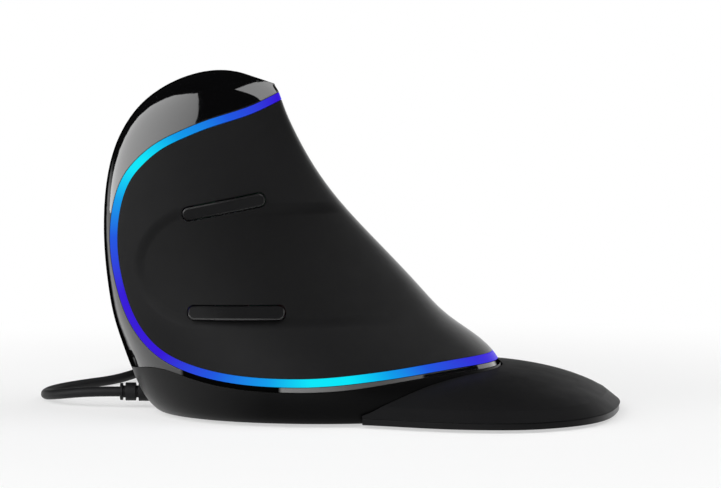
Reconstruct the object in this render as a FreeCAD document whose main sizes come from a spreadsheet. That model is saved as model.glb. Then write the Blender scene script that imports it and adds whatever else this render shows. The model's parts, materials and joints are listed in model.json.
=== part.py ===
import FreeCAD, Part
import Sketcher

import math
import os
import re

# Upright mouse for the right hand. Millimetres. X runs from the nose, where the cord leaves, to the palm
# rest; the thumb side faces -Y and the fingers' side +Y; Z is up and the desk is Z = 0.

V = FreeCAD.Vector
doc = FreeCAD.newDocument("ergonomic_mouse")
os.makedirs("parts", exist_ok=True)

# Driving sizes

SIZES = {
    "body_length": 93.0,
    "body_width": 80.0,
    "body_height": 80.2,
    "floor_gap": 0.8,
    "wall": 2.3,
    "floor_thickness": 2.0,
    "seam_gap": 0.12,
    "board_gap": 0.1,
    "strip_width": 1.7,
    "strip_depth": 1.4,
    "key_gap": 0.3,
    "key_yaw": 20.0,
    "key_tilt": 30.0,
    "bridge_width": 9.6,
    "key_width": 17.0,
    "slot_length": 25.0,
    "slot_width": 7.0,
    "wheel_diameter": 23.4,
    "wheel_width": 5.6,
    "wheel_proud": 3.0,
    "tyre_thickness": 3.0,
    "axle_diameter": 2.4,
    "rotor_diameter": 3.8,
    "pin_diameter": 1.8,
    "running_gap": 0.15,
    "button_gap": 0.25,
    "button_tip": 20.0,
    "upper_button_length": 18.8,
    "lower_button_length": 21.8,
    "button_height": 2.9,
    "dpi_length": 8.0,
    "dpi_width": 4.2,
    "dpi_proud": 0.6,
    "thumb_board_depth": 8.5,
    "board_thickness": 1.2,
    "key_board_depth": 14.0,
    "chassis_thickness": 2.0,
    "key_switch_spread": 13.5,
    "micro_length": 12.8,
    "micro_width": 5.8,
    "micro_tall": 6.5,
    "plunger_reach": 0.7,
    "tact_side": 4.5,
    "tact_tall": 3.5,
    "tact_reach": 0.8,
    "tact_plunger_diameter": 2.4,
    "tact_stem": 2.6,
    "main_board_level": 8.4,
    "main_board_length": 46.0,
    "main_board_width": 30.0,
    "screw_diameter": 2.4,
    "screw_head": 4.8,
    "small_screw": 1.8,
    "small_head": 3.6,
    "post_diameter": 6.4,
    "cord_diameter": 2.4,
    "relief_diameter": 4.6,
    "cord_level": 3.9,
    "coil_pitch": 3.5,
    "coil_layer": 3.2,
    "coil_mean_diameter": 28.0,
    "magnet_diameter": 5.6,
    "magnet_thickness": 2.5,
    "dowel_diameter": 3.0,
    "rest_gap": 0.35,
    "rest_wall": 2.0,
    "plinth_height": 1.5,
    "rest_pad_diameter": 8.0,
}
sheet = doc.addObject("Spreadsheet::Sheet", "Sizes")
for row, (name, value) in enumerate(SIZES.items(), start=1):
    sheet.set("A%d" % row, name)
    sheet.set("B%d" % row, str(value))
    sheet.setAlias("B%d" % row, name)
doc.recompute()


class SheetSizes:
    """The sheet's cells, read by their names."""

    def __getattr__(self, name):
        return float(sheet.get(name))


size = SheetSizes()

# The whole body is lofted through these sections, drawn at its nominal size. Each is a line from the nose
# to the tail with the thumb's side bulging to one side of it and the fingers' side to the other.
# Columns: nose x, nose z, tail x, tail z, nose y, tail y, thumb bulge, finger bulge.

DRAWN_LENGTH, DRAWN_WIDTH, DRAWN_HEIGHT = 93.0, 80.0, 80.2
STATIONS = [
    (-48.2, 0.8, 30.5, 0.8, 4.0, 0.0, 34.0, 35.0),
    (-50.6, 3.5, 32.6, 4.0, 3.0, 0.0, 35.6, 38.0),
    (-53.2, 9.0, 33.3, 10.0, 1.0, 0.0, 34.6, 39.5),
    (-56.6, 20.0, 24.5, 19.6, -5.0, -1.0, 27.4, 38.0),
    (-58.6, 32.5, 11.0, 32.6, -10.5, -3.0, 19.0, 35.0),
    (-59.1, 44.0, 0.2, 44.0, -13.5, -5.0, 13.5, 30.0),
    (-58.2, 55.5, -8.0, 53.8, -14.5, -7.0, 10.0, 24.0),
    (-54.7, 66.5, -14.2, 64.0, -14.0, -8.5, 7.0, 17.5),
    (-49.0, 73.8, -17.4, 71.0, -12.5, -9.5, 5.2, 11.5),
    (-41.5, 78.3, -18.6, 74.4, -10.8, -9.5, 3.8, 7.5),
    (-32.5, 80.2, -19.4, 76.0, -9.6, -9.2, 2.4, 4.0),
    (-25.5, 78.9, -19.9, 77.0, -9.2, -9.0, 1.3, 1.8),
]
INNER_STATIONS = 10
POINTS_A_SIDE = 14
THUMB_LOBE = (0.40, 0.46)
FINGER_LOBE = (0.55, 0.45)
FAR = 120.0

# The light strip's middle line and the seam above the base, as seen from the thumb's side (x, z).

STRIP_LINE = [
    (-8.0, 79.2), (-18.6, 74.2), (-25.3, 71.0), (-34.3, 68.1), (-41.1, 65.4), (-46.0, 62.9), (-49.9, 59.8),
    (-53.2, 55.8), (-55.3, 50.6), (-56.3, 44.7), (-56.3, 38.5), (-55.0, 31.0), (-52.6, 24.2), (-50.0, 20.0),
    (-45.6, 15.9), (-40.9, 13.6), (-34.0, 11.7), (-27.1, 10.7), (-18.0, 10.2), (-9.0, 10.3), (0.0, 11.0),
    (9.0, 11.9), (18.2, 12.9), (27.7, 13.4), (36.0, 13.2), (50.0, 12.0),
]
BASE_SEAM = [
    (-70.0, 10.0), (-54.0, 11.0), (-47.0, 12.5), (-39.0, 10.8), (-30.0, 9.0), (-17.0, 8.15), (-3.0, 8.6),
    (10.0, 10.2), (23.0, 11.3), (36.0, 11.3), (60.0, 10.0),
]
# The surface that parts the two sides, from the nose to the tail: z, y at its front and y at its rear.

MIDDLE_FRONT, MIDDLE_REAR = -60.0, 30.0
MIDDLE = [
    (-20.0, 4.1, 3.0), (0.8, 4.1, 3.0), (20.0, -5.3, 3.0), (32.5, -10.7, 3.5), (44.0, -13.7, 4.5),
    (55.0, -14.9, 4.8), (65.0, -15.2, 4.8), (72.5, -14.4, 1.2), (76.5, -12.8, -3.0), (80.2, -10.4, -7.7),
    (100.0, -10.4, -7.7),
]

# The fingers' side, in the keys' own frame: x toward the tail, y down the slope, z out of the surface.

RIDGE_EDGE = -21.7
KEY_FRONT = [(-4.0, RIDGE_EDGE), (-10.5, -21.3), (-18.0, -18.0), (-23.6, -9.5), (-24.3, 3.0), (-22.0, 15.0),
             (-18.0, 27.0), (-12.0, 42.0)]
KEY_REAR = [(10.0, -30.0), (31.0, 40.0)]
BRIDGE_REAR = 25.5
WHEEL_AIM = (-33.0, 0.3, 41.3)
DPI_X = 19.5
HINGE_DEPTH = 10.0
# Each key: its side of the wheel, its hinge's x and its switch's x.
INDEX_KEY = (-1, 11.0, -2.0)
MIDDLE_KEY = (1, 19.0, 4.0)
PLUNGER_OFFSET = -3.2
CARRIER_HINGE_X, CARRIER_HINGE_DEPTH = 14.5, 12.0
WHEEL_SWITCH = (6.0, -7.85)
KEY_CONNECTOR = (9.4, 17.8)
CONNECTOR_LENGTH, CONNECTOR_DEPTH = 6.8, 4.0
CHASSIS_POSTS = {"ridge": [(4.0, -25.8)], "palm": [(27.0, 9.0), (6.0, 26.8)]}

# The thumb's buttons, as seen from that side: middle x, middle z and the slope they rise at.

UPPER_BUTTON = (-31.1, 49.1, 10.9)
LOWER_BUTTON = (-28.0, 25.6, 0.0)
THUMB_POSTS = [(-36.0, 37.5), (-22.0, 37.5)]
THUMB_BOARD = (-38.5, 23.0, 19.0, 29.0)


def drawn(x, y, z):
    """A point of the nominal drawing, on the body as it is sized."""
    return V(x * size.body_length / DRAWN_LENGTH, y * size.body_width / DRAWN_WIDTH,
             z * size.body_height / DRAWN_HEIGHT)


def lobe(share, near_tail, near_nose):
    """How far a side bulges, from 0 at the nose to 1 at its fullest and 0 at the tail."""
    if share <= 0.0 or share >= 1.0:
        return 0.0
    fullest = near_tail / (near_tail + near_nose)
    top = fullest ** near_tail * (1.0 - fullest) ** near_nose
    return share ** near_tail * (1.0 - share) ** near_nose / top


def section(nose, tail, thumb, finger):
    """One closed section: along the thumb's side to the nose, and back along the fingers' side."""
    points = []
    for step in range(POINTS_A_SIDE):
        share = 0.5 * (1.0 + math.cos(math.pi * step / POINTS_A_SIDE))
        points.append(nose + (tail - nose) * share + V(0, -thumb * lobe(share, *THUMB_LOBE), 0))
    for step in range(POINTS_A_SIDE):
        share = 0.5 * (1.0 - math.cos(math.pi * step / POINTS_A_SIDE))
        points.append(nose + (tail - nose) * share + V(0, finger * lobe(share, *FINGER_LOBE), 0))
    curve = Part.BSplineCurve()
    curve.interpolate(points, PeriodicFlag=True)
    return Part.Wire(curve.toShape())


def form(inset=0.0, stations=None):
    """The body's outer form, or the same form drawn in by inset on every side."""
    wires = []
    end_inset, side_inset = 1.35 * inset, 1.12 * inset
    for nose_x, nose_z, tail_x, tail_z, nose_y, tail_y, thumb, finger in (stations or STATIONS):
        nose, tail = drawn(nose_x, nose_y, nose_z), drawn(tail_x, tail_y, tail_z)
        along = (tail - nose).normalize()
        widen = size.body_width / DRAWN_WIDTH
        wires.append(section(nose + along * end_inset, tail - along * end_inset,
                             max(thumb * widen - side_inset, 0.4), max(finger * widen - side_inset, 0.4)))
    return Part.makeLoft(wires, True, False, False)


def box_between(low, high):
    return Part.makeBox(high[0] - low[0], high[1] - low[1], high[2] - low[2], V(*low))


def spread(points, distance):
    """The same open line of (a, b) points, moved to its left by distance."""
    moved = []
    for index, (a, b) in enumerate(points):
        before = points[max(index - 1, 0)]
        after = points[min(index + 1, len(points) - 1)]
        run_a, run_b = after[0] - before[0], after[1] - before[1]
        length = math.hypot(run_a, run_b)
        moved.append((a - run_b / length * distance, b + run_a / length * distance))
    return moved


def smooth(points):
    curve = Part.BSplineCurve()
    curve.interpolate(points)
    return curve.toShape()


def closed_face(edges):
    """A face inside the edges, whose open ends are joined by straight lines."""
    ring = []
    for index, edge in enumerate(edges):
        ring.append(edge)
        start = edge.valueAt(edge.LastParameter)
        following = edges[(index + 1) % len(edges)]
        end = following.valueAt(following.FirstParameter)
        if start.distanceToPoint(end) > 1e-6:
            ring.append(Part.makeLine(start, end))
    return Part.Face(Part.Wire(ring))


def side_point(x, z, y=-FAR):
    """A point of a side view drawing, far out on the thumb's side."""
    place = drawn(x, 0, z)
    return V(place.x, y, place.z)


def side_prism(edges):
    """A solid right through the body behind a side view outline."""
    return closed_face(edges).extrude(V(0, 2 * FAR, 0))


def straight(*points):
    return [Part.makeLine(a, b) for a, b in zip(points, points[1:])]


def inside_strip(distance):
    """What lies inside the C of the light strip, its edge moved outward from the middle line by distance."""
    line = [side_point(x, z) for x, z in spread(STRIP_LINE, -distance)]
    high, low = line[0], line[-1]
    corners = straight(low, V(FAR, -FAR, low.z), V(FAR, -FAR, FAR), V(high.x, -FAR, FAR), high)
    return side_prism([smooth(line)] + corners)


def above_seam(distance):
    """What lies above the seam on top of the base, raised by distance."""
    line = [side_point(x, z + distance) for x, z in BASE_SEAM]
    first, last = line[0], line[-1]
    corners = straight(last, V(FAR, -FAR, last.z), V(FAR, -FAR, FAR), V(-FAR, -FAR, FAR),
                       V(-FAR, -FAR, first.z), first)
    return side_prism([smooth(line)] + corners)


def thumb_half(distance):
    """What lies on the thumb's side of the bent middle surface, moved toward the fingers by distance."""
    lines = []
    for z, y_front, y_rear in MIDDLE:
        front = drawn(MIDDLE_FRONT, y_front, z) + V(0, distance, 0)
        rear = drawn(MIDDLE_REAR, y_rear, z) + V(0, distance, 0)
        lines.append(Part.Wire(Part.makeLine(front * 2 - rear, rear * 2 - front)))
    return Part.makeLoft(lines, False, False, False).extrude(V(0, -FAR, 0)).Solids[0]


def hit(solid, start, direction):
    """Where a line that starts inside a solid leaves it."""
    ray = Part.makeLine(start, start + direction * FAR)
    within = ray.common(solid).Edges[0]
    return max(within.Vertexes, key=lambda corner: (corner.Point - start).Length).Point


outer = form()
wall_inner = form(size.wall, STATIONS[:INNER_STATIONS])
floor_top = size.floor_gap + size.floor_thickness
cavity = wall_inner.common(box_between((-FAR, -FAR, floor_top), (FAR, FAR, FAR)))
shell = outer.cut(cavity)

# The keys' frame stands where the wheel's own line leaves the fingers' side.

yaw, tilt = math.radians(size.key_yaw), math.radians(size.key_tilt)
tailward = V(math.cos(yaw), math.sin(yaw), 0)
outward = V(-math.sin(yaw) * math.cos(tilt), math.cos(yaw) * math.cos(tilt), math.sin(tilt))
downslope = outward.cross(tailward)
key_origin = hit(outer, drawn(*WHEEL_AIM), outward)
key_frame = FreeCAD.Placement(FreeCAD.Matrix(
    tailward.x, downslope.x, outward.x, key_origin.x,
    tailward.y, downslope.y, outward.y, key_origin.y,
    tailward.z, downslope.z, outward.z, key_origin.z, 0, 0, 0, 1))


def key_prism(edges, low=-60.0, high=25.0):
    """A solid along the keys' own outward direction, from its outline at local z = 0."""
    solid = closed_face(edges).extrude(V(0, 0, high - low))
    solid.translate(V(0, 0, low))
    solid.Placement = key_frame.multiply(solid.Placement)
    return solid


def behind_ridge_edge(inset):
    """The fingers' side behind and below the edge of the ridge cover."""
    line = [V(x, y, 0) for x, y in spread(KEY_FRONT, -inset)]
    first, last = line[0], line[-1]
    corners = straight(last, V(last.x, FAR, 0), V(FAR, FAR, 0), V(FAR, first.y, 0), first)
    return key_prism([smooth(line)] + corners)


def rear_of_keys(y):
    (x_low, y_low), (x_high, y_high) = KEY_REAR
    return x_low + (x_high - x_low) * (y - y_low) / (y_high - y_low)


def key_band(low, high, gap, rear=None):
    """A band across the fingers' side, closed behind by the keys' rear line or at rear."""
    behind = [rear or rear_of_keys(low), rear or rear_of_keys(high)]
    points = [V(-60, low + gap, 0), V(behind[0] - gap, low + gap, 0), V(behind[1] - gap, high - gap, 0),
              V(-60, high - gap, 0)]
    return key_prism(straight(*points, points[0]))


def rounded_bar(length, height, radius):
    """A closed outline about the local origin, in the XY plane."""
    x, y, r = length / 2, height / 2, radius
    s = r * math.sqrt(0.5)
    edges = []
    for side_x, side_y in ((1, -1), (1, 1), (-1, 1), (-1, -1)):
        middle = V(side_x * (x - r), side_y * (y - r), 0)
        on_x, on_y = middle + V(side_x * r, 0, 0), middle + V(0, side_y * r, 0)
        first, last = (on_y, on_x) if side_x * side_y < 0 else (on_x, on_y)
        edges.append(Part.Arc(first, middle + V(side_x * s, side_y * s, 0), last).toShape())
    return edges


# Building blocks: primitives bound to the sheet, and freeform pieces

nodes = []


def formula(text):
    """A sheet expression, from a formula that names the sizes plainly."""
    return re.sub(r"[a-z_]+", lambda word: "Sizes." + word.group(0), str(text))


def bind(item, **formulas):
    for name, text in formulas.items():
        item.setExpression(name.replace("__", "."), formula(text))
    return item


def place_at(item, x, y, z):
    return bind(item, Placement__Base__x=x, Placement__Base__y=y, Placement__Base__z=z)


def block(name, x, y, z, length, width, height):
    """A box from its lowest corner."""
    item = bind(doc.addObject("Part::Box", name), Length=length, Width=width, Height=height)
    return place_at(item, x, y, z)


TURNS = {
    "X": FreeCAD.Rotation(V(0, 1, 0), 90),
    "Y": FreeCAD.Rotation(V(1, 0, 0), -90),
    "Z": FreeCAD.Rotation(),
}


def rod(name, x, y, z, diameter, length, axis="Z"):
    """A cylinder from the middle of its lowest end."""
    item = doc.addObject("Part::Cylinder", name)
    item.Placement = FreeCAD.Placement(V(), TURNS[axis])
    bind(item, Radius="(%s) / 2" % diameter, Height=length)
    return place_at(item, x, y, z)


def combined(kind, label, items, frame=None):
    item = doc.addObject(kind, label)
    if kind == "Part::Compound":
        item.Links = items
    else:
        item.Shapes = items
    if frame:
        item.Placement = frame
    return item


def fused(label, items, frame=None):
    return combined("Part::MultiFuse", label, items, frame)


def cut_away(label, base, tools, frame=None):
    item = doc.addObject("Part::Cut", label)
    item.Base = base
    item.Tool = tools[0] if len(tools) == 1 else fused(label + "_tools", tools)
    if frame:
        item.Placement = frame
    return item


def keep(item, label=None):
    """Names an item as one of the mouse's own pieces."""
    item.Label = label or item.Name
    nodes.append(item)
    return item


def shaped(label, shape):
    """A piece whose form no sketch or primitive gives."""
    piece = doc.addObject("Part::Feature", label)
    piece.Shape = shape
    return keep(piece)


def in_key_frame(shape):
    shape.Placement = key_frame.multiply(shape.Placement)
    return shape


def cylinder(radius, start, direction, length):
    return Part.makeCylinder(radius, length, start, direction)


# Casing

gap = size.seam_gap
strip_half = size.strip_width / 2
above_base = above_seam(gap / 2)
fingers_half = box_between((-FAR, -FAR, -FAR), (FAR, FAR, FAR)).cut(thumb_half(gap / 2))
upper_shell = shell.common(above_base)
finger_shell = upper_shell.common(fingers_half)
strip_outside = inside_strip(strip_half + gap)
strip_inside = inside_strip(-strip_half - gap)

thumb_region = upper_shell.common(strip_inside).common(thumb_half(-gap / 2))
ridge_region = upper_shell.cut(strip_outside.common(thumb_half(gap / 2)))
ridge_region = ridge_region.cut(behind_ridge_edge(0.0).common(fingers_half))
base_region = shell.cut(above_seam(-gap / 2))
guide_body = outer.cut(form(size.wall + size.strip_depth, STATIONS[:INNER_STATIONS]))
strip_band = inside_strip(strip_half).cut(inside_strip(-strip_half))
strip_region = guide_body.common(strip_band).common(thumb_half(-gap / 2)).common(above_base)

half_bridge = size.bridge_width / 2
middle_low = half_bridge + size.key_width
under_edge = finger_shell.common(behind_ridge_edge(gap))
palm_region = under_edge.cut([key_band(-FAR / 2, middle_low, 0.0),
                              key_band(-half_bridge, half_bridge, 0.0, BRIDGE_REAR)])
key_stock = finger_shell.common(behind_ridge_edge(size.key_gap))
index_region = key_stock.common(key_band(-FAR / 2, -half_bridge, size.key_gap))
middle_region = key_stock.common(key_band(half_bridge, middle_low, size.key_gap))
bridge_region = under_edge.common(key_band(-half_bridge, half_bridge, gap / 2, BRIDGE_REAR))

under_skin = form(size.wall * 0.4)
board_top = -size.key_board_depth
chassis_top = board_top - size.board_thickness - size.board_gap
chassis_back = chassis_top - size.chassis_thickness


def post_in_frame(radius, x, y, low, high=15.0):
    return in_key_frame(cylinder(radius, V(x, y, low), V(0, 0, 1), high - low))


def drilled(solid, posts, bores):
    """A shell with posts that reach out of its wall, and the posts' bores."""
    for post in posts:
        solid = solid.fuse(post.common(under_skin))
    for bore in bores:
        solid = solid.cut(bore)
    return solid


def chassis_posts(side):
    places = CHASSIS_POSTS[side]
    screw = size.small_screw / 2
    return ([post_in_frame(screw + 1.5, x, y, chassis_top) for x, y in places],
            [post_in_frame(screw + 0.05, x, y, chassis_top - 1.0, chassis_top + 7.0) for x, y in places])


# Posts that stand down from the upper casing onto the base, and take its four long screws: x, y and top.

THUMB_SCREWS = [(-36.5, -17.0, 42.0), (8.0, -22.5, 36.0)]
PALM_SCREWS = [(-22.0, 28.0, 26.5), (12.0, 26.0, 40.0)]
POST_FOOT = 10.0


def casing_posts(places):
    foot = drawn(0, 0, POST_FOOT).z
    posts = [cylinder(size.post_diameter / 2, V(x, y, foot), V(0, 0, 1), top - foot) for x, y, top in places]
    bores = [cylinder(size.screw_diameter / 2 + 0.05, V(x, y, foot - 1), V(0, 0, 1), 10.0)
             for x, y, _ in places]
    return posts, bores


def side_bar(length, height, slope, middle, low=-FAR, high=0.0):
    """A bar with rounded ends, seen from the thumb's side, right through that side."""
    solid = closed_face(rounded_bar(length, height, height * 0.45)).extrude(V(0, 0, high - low))
    turned = FreeCAD.Rotation(V(0, -1, 0), slope).multiply(FreeCAD.Rotation(V(1, 0, 0), 90))
    solid.Placement = FreeCAD.Placement(V(middle.x, high, middle.z), turned)
    return solid


def thumb_button(label, length, slope, place, proud_edge):
    """A bar that stands out of the shell at its upper or lower edge only, with a stem down to its switch."""
    middle = drawn(*place)
    bar = side_bar(length, size.button_height, slope, middle)
    flush = V(middle.x, hit(outer, middle, V(0, -1, 0)).y, middle.z - proud_edge * size.button_height / 2)
    tipped = form(0.0)
    tipped.rotate(flush, V(1, 0, 0), proud_edge * size.button_tip)
    cap = bar.common(tipped).cut(form(1.5))
    reach = thumb_board_face - size.tact_tall - size.tact_reach - size.board_gap
    stem = cylinder(size.tact_stem / 2, V(middle.x, -FAR, middle.z), V(0, 1, 0), FAR + reach)
    stem = stem.common(form(0.4))
    return shaped(label, cap.fuse(stem))


BUTTON_HOLE_DEPTH = 6.5


def button_hole(length, slope, place):
    middle = drawn(*place)
    return side_bar(length + 2 * size.button_gap, size.button_height + 2 * size.button_gap, slope, middle,
                    -FAR, hit(outer, middle, V(0, -1, 0)).y + BUTTON_HOLE_DEPTH)


upper_place = (UPPER_BUTTON[0], 0, UPPER_BUTTON[1])
lower_place = (LOWER_BUTTON[0], 0, LOWER_BUTTON[1])
thumb_skin_y = hit(outer, drawn(*upper_place), V(0, -1, 0)).y
thumb_board_face = thumb_skin_y + size.thumb_board_depth

thumb_posts = [cylinder(2.2, V(drawn(x, 0, z).x, -FAR, drawn(x, 0, z).z), V(0, 1, 0),
                        FAR + thumb_board_face) for x, z in THUMB_POSTS]
thumb_bores = [cylinder(size.small_screw / 2 + 0.05, V(drawn(x, 0, z).x, thumb_board_face - 5.0,
                        drawn(x, 0, z).z), V(0, 1, 0), 10.0) for x, z in THUMB_POSTS]
posts, bores = casing_posts(THUMB_SCREWS)
thumb_shell = drilled(thumb_region, posts + thumb_posts, bores + thumb_bores)
thumb_shell = thumb_shell.cut([
    button_hole(size.upper_button_length, UPPER_BUTTON[2], upper_place),
    button_hole(size.lower_button_length, LOWER_BUTTON[2], lower_place)])
shaped("thumb_shell", thumb_shell)
thumb_button("forward_button", size.upper_button_length, UPPER_BUTTON[2], upper_place, 1)
thumb_button("back_button", size.lower_button_length, LOWER_BUTTON[2], lower_place, -1)

shaped("ridge_cover", drilled(ridge_region, *chassis_posts("ridge")))
posts, bores = casing_posts(PALM_SCREWS)
more_posts, more_bores = chassis_posts("palm")
shaped("palm_shell", drilled(palm_region, posts + more_posts, bores + more_bores))
post_room = [cylinder(size.post_diameter / 2 + size.seam_gap, V(x, y, 0), V(0, 0, 1), top)
             for x, y, top in THUMB_SCREWS]
shaped("light_strip", strip_region.cut(post_room))

# The bridge between the keys, with the wheel's slot and the sensitivity button

slot = key_prism(rounded_bar(size.slot_length, size.slot_width, size.slot_width * 0.48))


def dpi_bar(grow):
    edges = rounded_bar(size.dpi_length + 2 * grow, size.dpi_width + 2 * grow, size.dpi_width * 0.45)
    bar = key_prism(edges, -20.0)
    bar.translate(tailward * DPI_X)
    return bar


shaped("wheel_bridge", bridge_region.cut([slot, dpi_bar(size.button_gap)]))
tact_top = board_top + size.tact_tall
tact_tip = tact_top + size.tact_reach
dpi_cap = dpi_bar(0.0).common(form(-size.dpi_proud)).cut(form(2.0))
dpi_stem = post_in_frame(size.tact_stem / 2, DPI_X, 0.0, tact_tip + size.board_gap).common(under_skin)
shaped("dpi_button", dpi_cap.fuse(dpi_stem))

# The keys, each with a boss over its switch and a hinge arm with a bored barrel

micro_top = board_top + size.micro_tall
plunger_tip = micro_top + size.plunger_reach
BARREL_LENGTH, BARREL_RADIUS = 4.4, 2.1


def key(label, region, places):
    side, hinge_x, switch_x = places
    y = side * size.key_switch_spread
    boss = post_in_frame(1.5, switch_x + PLUNGER_OFFSET, y, plunger_tip + size.board_gap)
    arm = Part.makeBox(2 * BARREL_RADIUS, BARREL_LENGTH, 25.0,
                       V(hinge_x - BARREL_RADIUS, y - BARREL_LENGTH / 2, -HINGE_DEPTH))
    arm = in_key_frame(arm).common(under_skin)
    barrel = in_key_frame(cylinder(BARREL_RADIUS, V(hinge_x, y - BARREL_LENGTH / 2, -HINGE_DEPTH),
                                   V(0, 1, 0), BARREL_LENGTH))
    bore = in_key_frame(cylinder(size.pin_diameter / 2 + size.running_gap,
                                 V(hinge_x, y - BARREL_LENGTH, -HINGE_DEPTH), V(0, 1, 0),
                                 2 * BARREL_LENGTH))
    return shaped(label, region.fuse([boss.common(under_skin), arm, barrel]).cut(bore))


key("index_key", index_region, INDEX_KEY)
key("middle_key", middle_region, MIDDLE_KEY)

# Behind the fingers' side: wheel, carrier, chassis, board and switches, in the keys' frame

WHEEL_DEPTH = "(wheel_diameter / 2 - wheel_proud)"
BOARD_TOP = "(-key_board_depth)"
BOARD_UNDER = "(-key_board_depth - board_thickness)"
CHASSIS_TOP = "(-key_board_depth - board_thickness - board_gap)"
CHASSIS_BACK = "(-key_board_depth - board_thickness - board_gap - chassis_thickness)"
TACT_TOP = "(-key_board_depth + tact_tall)"
MICRO_TOP = "(-key_board_depth + micro_tall)"
ARM_OUT, ARM_IN = 5.3, 3.7

hub = fused("wheel_hub", [
    rod("hub_disc", 0, "-wheel_width / 2 + 0.2", "-" + WHEEL_DEPTH, "wheel_diameter - 2 * tyre_thickness",
        "wheel_width - 0.4", "Y"),
    rod("axle", 0, -7.0, "-" + WHEEL_DEPTH, "axle_diameter", 16.4, "Y"),
], key_frame)
keep(hub)


def wheel_body(label):
    """A body in the keys' frame, for a piece turned about the wheel's axle."""
    body = doc.addObject("PartDesign::Body", label)
    sketch = body.newObject("Sketcher::SketchObject", label + "_ring")
    front = [plane for plane in body.Origin.OriginFeatures if plane.Role == "XZ_Plane"][0]
    sketch.AttachmentSupport = [(front, "")]
    sketch.MapMode = "FlatFace"
    return body, sketch


tyre, ring = wheel_body("wheel_tyre")
for diameter, name in (("wheel_diameter", "outside"),
                       ("wheel_diameter - 2 * tyre_thickness + 0.1", "inside")):
    edge = ring.addGeometry(Part.Circle(V(), V(0, 0, 1), 10.0), False)
    ring.addConstraint(Sketcher.Constraint("Coincident", edge, 3, -1, 1))
    number = ring.addConstraint(Sketcher.Constraint("Radius", edge, 10.0 + edge))
    ring.renameConstraint(number, name)
    ring.setExpression("Constraints." + name, formula("(%s) / 2" % diameter))
tread = tyre.newObject("PartDesign::Pad", "tread")
tread.Profile = ring
tread.Midplane = True
bind(tread, Length="wheel_width")
groove_sketch = tyre.newObject("Sketcher::SketchObject", "groove_outline")
groove_sketch.AttachmentSupport = ring.AttachmentSupport
groove_sketch.MapMode = "FlatFace"
groove = groove_sketch.addGeometry(Part.Circle(V(0, 12.0, 0), V(0, 0, 1), 0.75), False)
groove_sketch.addConstraint(Sketcher.Constraint("PointOnObject", groove, 3, -2))
number = groove_sketch.addConstraint(Sketcher.Constraint("DistanceY", -1, 1, groove, 3, 12.0))
groove_sketch.renameConstraint(number, "rim")
groove_sketch.setExpression("Constraints.rim", formula("wheel_diameter / 2 + 0.15"))
groove_sketch.addConstraint(Sketcher.Constraint("Radius", groove, 0.7))
groove_cut = tyre.newObject("PartDesign::Pocket", "groove")
groove_cut.Profile = groove_sketch
groove_cut.Midplane = True
groove_cut.Length = 20.0
round_wheel = tyre.newObject("PartDesign::PolarPattern", "grooves")
round_wheel.Originals = [groove_cut]
round_wheel.Axis = (groove_sketch, ["N_Axis"])
round_wheel.Angle = 360.0
round_wheel.Occurrences = 30
tyre.Tip = round_wheel
axle_depth = size.wheel_diameter / 2 - size.wheel_proud
tyre.Placement = key_frame.multiply(FreeCAD.Placement(V(0, 0, -axle_depth), FreeCAD.Rotation()))
keep(tyre)

ENCODER_LOW, ENCODER_HIGH = 5.4, 8.8
rotor = rod("rotor_disc", 0, ENCODER_LOW + 0.5, "-" + WHEEL_DEPTH, "rotor_diameter", 2.4, "Y")
rotor_bore = rod("rotor_bore", 0, ENCODER_LOW, "-" + WHEEL_DEPTH, "axle_diameter + 0.1", 4.0, "Y")
keep(cut_away("encoder_rotor", rotor, [rotor_bore], key_frame))
encoder = block("encoder_block", -5.0, ENCODER_LOW, "-%s - 3.9" % WHEEL_DEPTH, 10.0,
                ENCODER_HIGH - ENCODER_LOW, 6.7)
encoder_bore = rod("encoder_bore", 0, ENCODER_LOW - 1, "-" + WHEEL_DEPTH, "rotor_diameter + 2 * running_gap",
                   6.0, "Y")
keep(cut_away("encoder_body", encoder, [encoder_bore], key_frame))

arms = []
for name, low in (("left", -ARM_OUT), ("right", ARM_IN)):
    thick = ARM_OUT - ARM_IN
    arms += [
        block(name + "_arm", -3.5, low, "-%s - 2.2" % WHEEL_DEPTH, CARRIER_HINGE_X + 2.6, thick, 4.4),
        block(name + "_heel", CARRIER_HINGE_X - 3.5, low, -CARRIER_HINGE_DEPTH, 5.2, thick, 4.0),
        rod(name + "_eye", CARRIER_HINGE_X, low, -CARRIER_HINGE_DEPTH, 3.5, thick, "Y"),
    ]
arms.append(block("carrier_bar", CARRIER_HINGE_X - 1.3, -ARM_OUT, -CARRIER_HINGE_DEPTH, 1.8, 2 * ARM_OUT,
                  3.2))
arms.append(block("switch_tab", WHEEL_SWITCH[0] - 1.4, WHEEL_SWITCH[1] - 2.2, TACT_TOP + " + tact_reach", 2.8,
                  -ARM_OUT - WHEEL_SWITCH[1] + 2.2, 2.2))
axle_bore = rod("axle_bore", 0, -FAR, "-" + WHEEL_DEPTH, "axle_diameter + 2 * running_gap", 2 * FAR, "Y")
carrier_bore = rod("carrier_bore", CARRIER_HINGE_X, -FAR, -CARRIER_HINGE_DEPTH,
                   "pin_diameter + 2 * running_gap", 2 * FAR, "Y")
keep(cut_away("wheel_carrier", fused("carrier_solid", arms), [axle_bore, carrier_bore], key_frame))

EAR_OUT, EAR_IN = 7.2, 5.7
KEY_EAR_NEAR, KEY_EAR_THICK = 2.6, 1.6
EAR_RISE = 1.8
PIN_BORE = "pin_diameter + 0.1"
THROUGH_CHASSIS = "chassis_thickness + 2"
BEHIND_CHASSIS = CHASSIS_BACK + " - 1"
chassis_parts = [block("plate", -13.0, -28.5, CHASSIS_BACK, 44.0, 59.0, "chassis_thickness")]
chassis_cuts = []
pins = []


def ear(name, x, y, thick, depth):
    """An ear that stands on the chassis and holds a hinge pin at its depth."""
    return block(name, x - EAR_RISE, y, CHASSIS_TOP, 2 * EAR_RISE, thick,
                 "-%s - %s + %s" % (CHASSIS_TOP, depth, EAR_RISE))


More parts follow.
